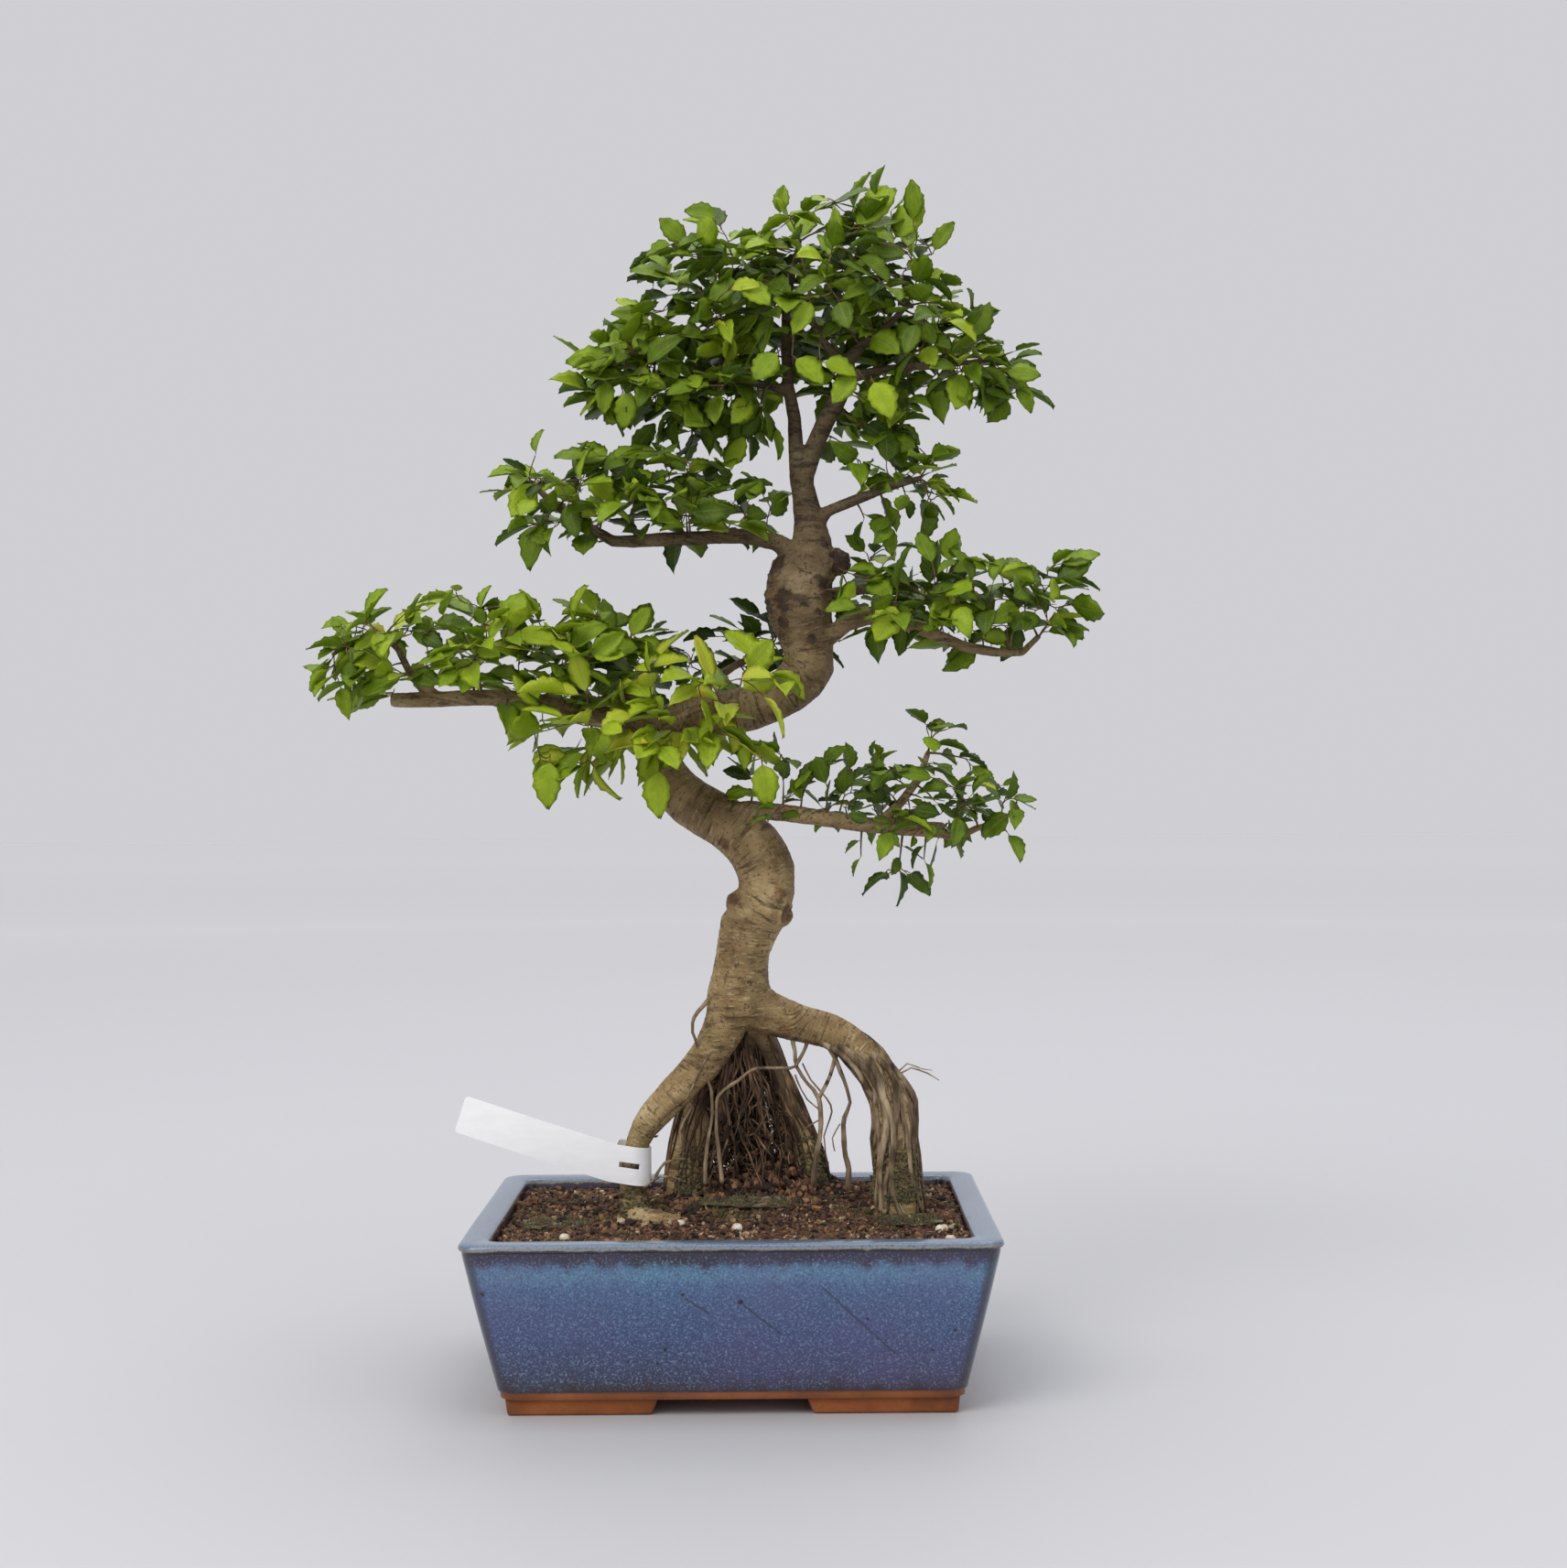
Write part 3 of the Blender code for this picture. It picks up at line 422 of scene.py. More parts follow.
# %% [markdown]
# ## The pot
#
# A rectangular bonsai pot is pressed in a mould from coarse clay, then dipped in
# glaze. Its plan is a rectangle with rounded corners, so it starts as a flat face
# with four bevelled corners. Extruding that outline ring by ring, with a slightly
# larger or smaller plan each time, gives the leaning wall, the rolled lip and the
# inside in one skin. A whisper of noise keeps the walls from looking machined. The
# drain holes are punched last, and the four feet are L-shaped blocks of the same clay.

# %% Draw the pot's rings
GLAZE_EDGE = pot_low.z + 11.8 * MM
RIM_TOP = pot_low.z + 87.2 * MM
# Inset from the rim's edge and height of each ring of the skin, in millimetres.
OUTSIDE = [(17.4, 8.0), (16.5, 8.6), (16.1, 11.2), (15.8, 11.9), (15.2, 12.3), (14.9, 13.2),
           (14.4, 15.5)]
LIP = [(0.2, 79.4), (-0.2, 81.8), (-0.2, 83.0), (-1.2, 83.7), (-1.8, 84.6), (-1.7, 85.7),
       (-1.0, 86.7), (0.6, 87.2), (5.0, 87.0), (10.2, 86.9), (11.4, 86.4), (12.0, 85.2),
       (12.1, 81.0)]
WALL_RINGS = 9
WALL_BELLY = 0.35
INSIDE = [(14.0, 70.0), (19.0, 40.0), (23.5, 19.5), (25.5, 17.2)]


def wall_profile():
    """Inset from the rim's edge and height of every ring, in millimetres."""
    last, first = OUTSIDE[-1], LIP[0]
    wall = []
    for ring in range(1, WALL_RINGS):
        share = ring / WALL_RINGS
        belly = WALL_BELLY * math.sin(math.pi * share)
        wall.append((last[0] + (first[0] - last[0]) * share - belly,
                     last[1] + (first[1] - last[1]) * share))
    return OUTSIDE + wall + LIP + INSIDE


print("rings of the pot's skin", len(wall_profile()))

# %% Extrude the pot
POT_CORNER = 15 * MM
CORNER_STEPS = 8
SIDE_CUTS = 23
HAND_WAVER = 0.45 * MM


def pot_plan(half_x, half_y, corner, z):
    """A flat face with rounded corners and evenly divided sides."""
    bm = bmesh.new()
    bmesh.ops.create_grid(bm, x_segments=1, y_segments=1, size=1)
    bmesh.ops.scale(bm, vec=(half_x, half_y, 1), verts=bm.verts)
    bmesh.ops.bevel(bm, geom=bm.verts[:], offset=corner, offset_type="OFFSET",
                    segments=CORNER_STEPS, profile=0.5, affect="VERTICES", material=-1)
    long_sides = [e for e in bm.edges if e.calc_length() > half_y]
    bmesh.ops.subdivide_edges(bm, edges=long_sides, cuts=SIDE_CUTS)
    bmesh.ops.translate(bm, vec=(POT_MIDDLE.x, POT_MIDDLE.y, z), verts=bm.verts)
    return bm


def shape_pot():
    """Outer wall, lip, inside and floor in one closed skin."""
    half_x = (pot_high.x - pot_low.x) / 2
    half_y = (pot_high.y - pot_low.y) / 2
    profile = wall_profile()
    inset, height = (v * MM for v in profile[0])
    bm = pot_plan(half_x - inset, half_y - inset, POT_CORNER - inset * 0.4, pot_low.z + height)
    edges = [e for e in bm.edges if e.is_boundary]
    middle = Vector((POT_MIDDLE.x, POT_MIDDLE.y, 0))
    for step in profile[1:]:
        wider_x = (half_x - step[0] * MM) / (half_x - inset)
        wider_y = (half_y - step[0] * MM) / (half_y - inset)
        made = bmesh.ops.extrude_edge_only(bm, edges=edges)["geom"]
        ring = [g for g in made if isinstance(g, bmesh.types.BMVert)]
        edges = [g for g in made if isinstance(g, bmesh.types.BMEdge) and g.is_boundary]
        bmesh.ops.scale(bm, vec=(wider_x, wider_y, 1), verts=ring,
                        space=Matrix.Translation(-middle))
        for vertex in ring:
            vertex.co.z = pot_low.z + step[1] * MM
        inset = step[0] * MM
    bmesh.ops.contextual_create(bm, geom=edges)
    for vertex in bm.verts:
        place = vertex.co.copy()
        lean = Vector((hill(place, 0.07), hill(place, 0.07, 5), hill(place, 0.09, 9) * 0.5))
        vertex.co += lean * HAND_WAVER * min(1.0, max(0.0, (place.z - pot_low.z) / (40 * MM)))
    bmesh.ops.recalc_face_normals(bm, faces=bm.faces)
    return bm


pot_skin = shape_pot()
print("pot's skin", len(pot_skin.faces), "faces")

# %% Punch the drain holes
DRAIN_APART = 55 * MM
DRAIN_RADIUS = 11 * MM
DRILL_HEIGHT = 12 * MM
DRILL_DEPTH = 20 * MM


def punch_drains(bm):
    """Cut the two round drain holes through the floor."""
    drill = bmesh.new()
    for side in (-1, 1):
        place = Matrix.Translation((POT_MIDDLE.x + side * DRAIN_APART, POT_MIDDLE.y, DRILL_HEIGHT))
        bmesh.ops.create_cone(drill, cap_ends=True, segments=40, radius1=DRAIN_RADIUS,
                              radius2=DRAIN_RADIUS, depth=DRILL_DEPTH, matrix=place)
    mesh = bpy.data.meshes.new("drill")
    drill.to_mesh(mesh)
    drill.free()
    tool = bpy.data.objects.new("drill", mesh)
    bpy.context.scene.collection.objects.link(tool)
    pot = applied(bm, "pot_skin", ("BOOLEAN", {"operation": "DIFFERENCE", "object": tool,
                                               "solver": "EXACT"}))
    bpy.data.objects.remove(tool, do_unlink=True)
    return pot


pot_mesh = punch_drains(pot_skin)
print("pot with its holes", len(pot_mesh.polygons), "faces")

# %% Shape the feet
FOOT_ARMS = (75 * MM, 52 * MM)
FOOT_WIDTH = 14 * MM
FOOT_HEIGHT = 8.4 * MM
FOOT_INSET = 19 * MM
FOOT_LEAN = 3.5 * MM
FOOT_ROUND = 1.3 * MM


def shape_feet():
    """Four L-shaped feet whose ends lean in, with softly rounded edges."""
    bm = bmesh.new()
    arm_x, arm_y = FOOT_ARMS
    reach_x = (pot_high.x - pot_low.x) / 2 - FOOT_INSET
    reach_y = (pot_high.y - pot_low.y) / 2 - FOOT_INSET
    for side_x in (-1, 1):
        for side_y in (-1, 1):
            foot = bmesh.new()
            bmesh.ops.create_grid(foot, x_segments=2, y_segments=2, size=1)
            for vertex in foot.verts:
                across = {-1: 0.0, 0: arm_x - FOOT_WIDTH, 1: arm_x}[round(vertex.co.x)]
                along = {-1: 0.0, 0: arm_y - FOOT_WIDTH, 1: arm_y}[round(vertex.co.y)]
                vertex.co = Vector((across, along, 0))
            inner = min(foot.faces, key=lambda f: f.calc_center_median().length)
            bmesh.ops.delete(foot, geom=[inner], context="FACES")
            made = bmesh.ops.extrude_face_region(foot, geom=foot.faces[:], use_keep_orig=True)
            for part in made["geom"]:
                if isinstance(part, bmesh.types.BMVert):
                    part.co.z = FOOT_HEIGHT
            for vertex in foot.verts:
                lean = FOOT_LEAN * (1 - vertex.co.z / FOOT_HEIGHT)
                vertex.co.x += lean * (1 if vertex.co.x < FOOT_WIDTH / 2 else -0.3)
                vertex.co.y += lean * (1 if vertex.co.y < FOOT_WIDTH / 2 else -0.3)
            bmesh.ops.recalc_face_normals(foot, faces=foot.faces)
            rims = [e for e in foot.edges if e.calc_face_angle(0) > 0.5]
            bmesh.ops.bevel(foot, geom=rims, offset=FOOT_ROUND, offset_type="OFFSET", segments=3,
                            profile=0.5, affect="EDGES", material=-1)
            for vertex in foot.verts:
                x = POT_MIDDLE.x + side_x * (reach_x - arm_x + vertex.co.x)
                y = POT_MIDDLE.y + side_y * (reach_y - arm_y + vertex.co.y)
                vertex.co = Vector((x, y, pot_low.z + vertex.co.z))
            append(bm, foot)
    bmesh.ops.remove_doubles(bm, verts=bm.verts, dist=1e-6)
    bmesh.ops.recalc_face_normals(bm, faces=bm.faces)
    return bm


pot_feet = shape_feet()
print("feet", len(pot_feet.faces), "faces")

# %% [markdown]
# ## Glaze and clay
#
# The glaze is a thick slate blue that broke over the lip: pale grey-blue on top, a
# thin cream line that is partly the glaze's break and partly a painted highlight, a
# dark band just under the lip, then a lighter cyan band that fades to a purplish blue
# with fine pale specks. Height above the table chooses the colour, and noise pushes
# that height up and down so the bands wander and drip. The rounded corners of the
# wall get painted shade.
# Below the glaze line the same skin shows bare orange clay.

# %% Mark the glaze's flaws
# Pinholes in the front wall as x, z and radius, and scratches as x, z, x, z: in
# millimetres, sideways from the pot's middle and up from the table.
PINHOLES = [(4.6, 58, 1.9), (-23.5, 62, 1.2), (108, 43, 1.1), (65.6, 49, 1.0), (-50, 28, 1.0),
            (-32, 34, 1.3), (97, 33, 0.8), (-36, 27, 0.9), (-68, 24, 0.8)]
SCRATCHES = [(43, 66, 80, 30), (5, 57, 25, 41), (-24, 61, -10, 52)]


def glaze_flaws(glaze):
    """Mask of the pinholes and scratches of the front wall."""
    where = glaze.add("ShaderNodeSeparateXYZ", {"Vector": glaze.place}).outputs
    wander = glaze.maths("MULTIPLY", glaze.maths("SUBTRACT", glaze.noise(160, 2), 0.5), 2 * MM)
    x = glaze.maths("ADD", where["X"], wander)
    flat = glaze.add("ShaderNodeCombineXYZ", {"X": x, "Z": where["Z"]}).outputs[0]
    mask = 0.0
    for mark_x, mark_z, radius in PINHOLES:
        middle = (POT_MIDDLE.x + mark_x * MM, 0, pot_low.z + mark_z * MM)
        spot = glaze.span(glaze.apart(flat, middle), radius * MM, radius * 0.4 * MM)
        mask = glaze.maths("MAXIMUM", mask, spot)
    for begin_x, begin_z, end_x, end_z in SCRATCHES:
        begin = Vector((POT_MIDDLE.x + begin_x * MM, 0, pot_low.z + begin_z * MM))
        way = Vector((end_x - begin_x, 0, end_z - begin_z)) * MM
        length = way.length
        way.normalize()
        aside = Vector((-way.z, 0, way.x))
        run = glaze.add("ShaderNodeVectorMath", {0: flat, 1: way}, operation="DOT_PRODUCT")
        off = glaze.add("ShaderNodeVectorMath", {0: flat, 1: aside}, operation="DOT_PRODUCT")
        run = glaze.maths("SUBTRACT", run.outputs["Value"], begin.dot(way))
        off = glaze.maths("SUBTRACT", off.outputs["Value"], begin.dot(aside))
        off = glaze.maths("ABSOLUTE", off)
        line = glaze.maths("MULTIPLY", glaze.span(off, 0.9 * MM, 0.2 * MM, 0.0, 0.55),
                           glaze.span(run, 0.0, 2 * MM))
        line = glaze.maths("MULTIPLY", line, glaze.span(run, length, length - 2 * MM))
        mask = glaze.maths("MAXIMUM", mask, line)
    front = glaze.span(where["Y"], POT_MIDDLE.y - 70 * MM, POT_MIDDLE.y - 75 * MM)
    return glaze.maths("MULTIPLY", mask, front)


print("flaws in the glaze", len(PINHOLES) + len(SCRATCHES))


# %% Mix the glaze
def make_clay_colour(finish):
    """Bare fired clay: orange-brown with darker smoke and grit."""
    cloud = finish.noise(35, 4)
    clay = finish.ramp(cloud, [(0.3, (0.14, 0.038, 0.009)), (0.55, (0.29, 0.083, 0.018)),
                               (0.75, (0.38, 0.13, 0.035))])
    grit = finish.span(finish.noise(700, 2), 0.6, 0.7, 0.0, 0.5)
    return finish.mix(grit, clay, (0.13, 0.05, 0.02))


def make_glaze():
    """Blue glaze with bands by height, over bare clay."""
    glaze = Finish("blue_glaze", Roughness=0.2, IOR=1.5, Coat_Weight=0.35, Coat_Roughness=0.08)
    height = glaze.axis("Z")
    side = glaze.noise(22, 3)
    drips = glaze.noise(120, 3, stretch=(1, 1, 0.12))
    wander = glaze.maths("MULTIPLY", glaze.maths("SUBTRACT", drips, 0.5), 0.011)
    sway = glaze.maths("MULTIPLY", glaze.maths("SUBTRACT", side, 0.5), 0.003)
    runny = glaze.span(height, RIM_TOP - 2 * MM, RIM_TOP - 7 * MM, 0.12, 1.0)
    level = glaze.maths("MULTIPLY_ADD", glaze.maths("ADD", wander, sway), runny, height)
    share = glaze.span(level, pot_low.z + 10 * MM, RIM_TOP + 1 * MM)
    # The stops from 0.87 to 0.948 are the dark band just under the lip; the cream stop at 0.957 is
    # partly the glaze's break at the edge and partly a painted highlight.
    bands = glaze.ramp(share, [
        (0.02, (0.035, 0.02, 0.03)), (0.06, (0.035, 0.028, 0.045)), (0.16, (0.042, 0.052, 0.12)),
        (0.38, (0.045, 0.075, 0.185)), (0.56, (0.046, 0.092, 0.21)), (0.70, (0.056, 0.12, 0.25)),
        (0.79, (0.085, 0.20, 0.33)), (0.835, (0.07, 0.165, 0.28)), (0.87, (0.026, 0.03, 0.06)),
        (0.90, (0.016, 0.011, 0.026)), (0.948, (0.02, 0.013, 0.028)), (0.957, (0.30, 0.27, 0.19)),
        (0.970, (0.13, 0.18, 0.26)), (1.0, (0.14, 0.205, 0.29)),
    ])
    fine = glaze.noise(900, 3, 0.7)
    specks = glaze.span(fine, 0.53, 0.66)
    dark_specks = glaze.span(fine, 0.46, 0.36)
    on_wall = glaze.maths("MULTIPLY", glaze.span(level, GLAZE_EDGE, GLAZE_EDGE + 5 * MM),
                          glaze.span(height, RIM_TOP - 4 * MM, RIM_TOP - 9 * MM, 0.25, 1.0))
    colour = glaze.mix(glaze.maths("MULTIPLY", specks, glaze.maths("MULTIPLY", on_wall, 0.55)),
                       bands, (0.26, 0.38, 0.52))
    colour = glaze.mix(glaze.maths("MULTIPLY", dark_specks, 0.6), colour, (0.014, 0.02, 0.055))
    purple = glaze.span(glaze.noise(14, 2), 0.45, 0.75, 0.0, 0.4)
    colour = glaze.mix(glaze.maths("MULTIPLY", purple, on_wall), colour, (0.1, 0.07, 0.2))
    pits = glaze.maths("MULTIPLY", glaze.span(glaze.cells(62), 0.11, 0.05),
                       glaze.span(glaze.noise(40, 0), 0.6, 0.64))
    pits = glaze.maths("MAXIMUM", pits, glaze_flaws(glaze))
    colour = glaze.mix(pits, colour, (0.008, 0.008, 0.015))
    # Painted shade: where the normal points slantwise, on the rounded corners, the mask named thin
    # darkens the glaze.
    facing = glaze.add("ShaderNodeSeparateXYZ", {
        "Vector": glaze.add("ShaderNodeNewGeometry").outputs["Normal"]}).outputs
    corner = glaze.maths("ABSOLUTE", glaze.maths("MULTIPLY", facing["X"], facing["Y"]))
    thin = glaze.maths("MULTIPLY", glaze.span(corner, 0.18, 0.42, 0.0, 0.75), on_wall)
    colour = glaze.mix(thin, colour, (0.022, 0.02, 0.035))
    clay = make_clay_colour(glaze)
    bare = glaze.span(glaze.maths("ADD", height, glaze.maths("MULTIPLY", sway, 0.25)),
                      GLAZE_EDGE + 0.5 * MM, GLAZE_EDGE + 0.1 * MM)
    colour = glaze.mix(bare, colour, clay)
    rough = glaze.maths("MAXIMUM", glaze.span(fine, 0.3, 0.8, 0.16, 0.3),
                        glaze.maths("MULTIPLY", bare, 0.8))
    glaze.link(Base_Color=colour, Roughness=rough)
    dents = glaze.maths("MULTIPLY_ADD", pits, -1.0, glaze.maths("MULTIPLY", fine, 0.12))
    glaze.bump(dents, 0.4 * MM, 0.6)
    return glaze.material


def make_clay():
    """The feet's unglazed clay."""
    clay = Finish("bare_clay", Roughness=0.8)
    clay.link(Base_Color=make_clay_colour(clay))
    return clay.bump(clay.noise(500, 4), 0.3 * MM, 0.5).material


# %% Glaze the pot
POT_CREASE = math.radians(50)
pot = place_piece("glazed_pot", pot_mesh, make_glaze(), ["pot"])
pot.data.set_sharp_from_angle(angle=POT_CREASE)
feet = hand_over("pot_feet", pot_feet, make_clay(), ["pot"])
feet.data.set_sharp_from_angle(angle=POT_CREASE)

# %% [markdown]
# ## The wood
#
# Trunk, root legs and limbs grew as one piece, so they are one skin. The solid model
# gives that skin as a union of plain tapering tubes. Rebuilding it as a fine even net
# and relaxing it melts the tubes together, as growing wood does at a fork. Then the
# bark is raised: slow swellings first, rings of wrinkles where the stem bends or
# squats, small warts, and the lips of old pruning wounds. To know which way the
# rings run, each point looks up the nearest place on a guide line through the stem.
# Two level cuts part the finished skin in three bands, which keeps each piece light,
# and the rims of the cuts are kept crisp so that the bands meet without a line.

# %% Guide lines and scars of the stem
GUIDES = {
    "trunk": [(4, -1, 111), (4, 0, 126), (8, -2, 151), (18, -5, 171), (18, -5, 181),
              (11, -3, 194), (-3, 0, 206), (-22, 4, 217), (-35, 8, 231), (-39, 10, 245),
              (-32, 11, 257), (-14, 9, 262), (10, 5, 266), (30, 2, 275), (41, 0, 288),
              (40, 0, 301), (37, -2, 314), (36, -2, 329), (41, -2, 343), (42, 0, 366)],
    "left_leg": [(4, -1, 111), (-5, -2, 100), (-23, -5, 74), (-47, -3, 47), (-53, 0, 18),
                 (-54, 3, -14)],
    "right_leg": [(4, -1, 111), (18, -2, 107), (51, -6, 97), (65, -8, 88), (76, -9, 76),
                  (84, -10, 38), (86, -10, -14)],
}
# Old wounds and burls: x, y, z, radius, swelling, all in millimetres.
SCARS = [
    (1, -12, 166, 6.0, 1.6), (29, -12, 159, 6.5, 2.0), (24, -13, 171, 5.0, 0.6),
    (57, -9, 341, 8.0, 3.0), (30, -15, 322, 9.0, 2.2), (46, -13, 330, 6.0, 2.0),
    (42, -13, 300, 5.0, 0.8), (26, -10, 338, 7.0, 2.0), (-57, 0, 276, 8.0, 0.6),
    (-3, -11, 196, 4.5, 0.7), (60, -10, 438, 5.5, 1.6), (24, 12, 300, 8.0, 1.4),
    (-20, 14, 215, 7.0, 1.2), (10, 14, 150, 7.0, 1.0), (110, -27, 202, 4.0, 0.3),
    (-177, -10, 271, 4.0, 0.3), (21, -5, 318, 8.0, 1.8), (51, -12, 352, 6.0, 1.8),
    (27, -14, 309, 5.0, 1.0), (44, -14, 315, 4.5, 0.9),
]
FORK = tree_point(4, 0, 112)


def guide_tree():
    """Points along every guide line with the distance walked so far, and their lookup."""
    samples = []
    for name, points in GUIDES.items():
        line = [tree_point(*entry[:3]) for entry in smooth_route([(*p, 1.0) for p in points], 3.0)]
        way = 1 if name == "trunk" else -1
        walked = 0.0
        for before, place in zip(line, line[1:]):
            walked += (place - before).length
            samples.append((place, walked * way, (place - before).normalized() * way))
    lookup = KDTree(len(samples))
    for index, sample in enumerate(samples):
        lookup.insert(sample[0], index)
    lookup.balance()
    return samples, lookup


print("guide lines", len(GUIDES), "scars", len(SCARS))

# %% Melt the tubes into one skin
BARK_NET = 0.8 * MM
RELAX_ROUNDS = 9


def wood_skin():
    """The solid wood as an even, relaxed net."""
    skin = applied(merged_copy("trunk"), "wood_net",
                   ("REMESH", {"mode": "VOXEL", "voxel_size": BARK_NET, "adaptivity": 0.0}))
    bm = bmesh.new()
    bm.from_mesh(skin)
    for _ in range(RELAX_ROUNDS):
        bmesh.ops.smooth_vert(bm, verts=bm.verts, factor=0.5, use_axis_x=True,
                              use_axis_y=True, use_axis_z=True)
    return bm


wood = wood_skin()
print("points of the skin", len(wood.verts))

# %% Raise the bark
RING_PITCH = 4.6 * MM
FORK_REACH = 52 * MM        # beyond this the guide lines alone say which way rings run
FORK_BLEND = 24 * MM


def raise_bark(bm):
    """Move every point along its normal by swellings, wrinkles, warts and wounds."""
    samples, lookup = guide_tree()
    scars = [(tree_point(*s[:3]), s[3] * MM, s[4] * MM) for s in SCARS]
    along = bm.verts.layers.float.new("along")
    scar_layer = bm.verts.layers.float.new("scar")
    bm.normal_update()
    moves = []
    for vertex in bm.verts:
        place = vertex.co
        _, index, distance = lookup.find(place)
        spot, walked, ahead = samples[index]
        walked += (place - spot).dot(ahead)
        thick = min(1.0, max(0.0, 1.6 - distance / (14 * MM))) if distance > 9 * MM else 1.0
        from_fork = (place - FORK).length
        near_fork = math.exp(-(from_fork / (38 * MM)) ** 2)
        # Round the fork plain height takes over, so no seam shows where guide lines meet.
        level = min(1.0, max(0.0, (FORK_REACH - from_fork) / FORK_BLEND))
        walked += (place.z - FORK.z - walked) * level * level * (3 - 2 * level)
        bend = 0.22 + 0.78 * near_fork
        warp = hill(place, 0.012, 3) * 2.2 + hill(place, 0.004, 8) * 0.7
        rings = math.cos(walked / (RING_PITCH / 2) * math.pi + warp * 2.4)
        rings = (abs(rings) ** 0.7 - 0.75) * (0.75 + 0.5 * hill(place, 0.009, 14))
        swell = hill(place, 0.028, 21) * 0.9 + hill(place, 0.011, 4) * 0.45
        wart = max(0.0, hill(place, 0.0036, 31) - 0.35) * 1.1
        grain = hill(place, 0.002, 40) * 0.16
        size = 0.25 + 0.75 * thick
        move = swell * size + rings * 0.6 * bend * thick + wart * 0.5 * size + grain
        wound = 0.0
        for middle, radius, height in scars:
            gap = (place - middle).length
            if gap < radius * 2.2:
                share = gap / radius + hill(place, 0.005, 50) * 0.42 + hill(place, 0.002, 51) * 0.15
                lip = math.exp(-((share - 0.8) / 0.28) ** 2)
                rough = 0.5 + 1.1 * abs(hill(place, 0.0034, 52))
                knot = math.exp(-share * share) * (0.4 + 0.8 * hill(place, 0.0042, 55))
                move += height / MM * (lip * rough * 0.55 + knot * 0.7)
                wound = max(wound, 1.0 - max(0.0, share - 0.35) / 0.9)
        vertex[along] = walked
        vertex[scar_layer] = wound
        moves.append(vertex.normal * move * MM)
    for vertex, move in zip(bm.verts, moves):
        vertex.co += move
    return max(move.length for move in moves)


highest = raise_bark(wood)
wood_tree = BVHTree.FromBMesh(wood)
print("highest bark", round(highest / MM, 2), "mm")

# %% Part the skin in bands
WOOD_CUTS = (76, 258)       # drawn millimetres above the soil line


def cut_bands(bm, heights):
    """Closed bands of the skin, parted by level cuts with crisp rims."""
    bands = []
    for low, high in zip((None, *heights), (*heights, None)):
        band = bm.copy()
        rims = []
        for level, above in ((high, True), (low, False)):
            if level is None:
                continue
            cut = bmesh.ops.bisect_plane(
                band, geom=band.verts[:] + band.edges[:] + band.faces[:], dist=1e-7,
                plane_co=(0, 0, level), plane_no=(0, 0, 1),
                clear_outer=above, clear_inner=not above)
            rim = [g for g in cut["geom_cut"] if isinstance(g, bmesh.types.BMEdge)]
            bmesh.ops.holes_fill(band, edges=rim, sides=0)
            rims += rim
        for face in band.faces:
            face.smooth = True
        for edge in rims:
            edge.smooth = False
        bands.append(band)
    return bands


wood_bands = cut_bands(wood, [SOIL_LINE + height * MM for height in WOOD_CUTS])
wood.free()
print("faces in each band", [len(band.faces) for band in wood_bands])

# %% [markdown]
# ## Bark
#
# Elm bark on a young tree is thin and grey-tan, greener on the thin limbs, with
# pale dashes across the stem, orange freckles, and dark red-brown where a wound
# healed. The skin carries how far along the stem each point lies, so fine cracks
# run round the stem even where it leans over, and how near it is to a wound.


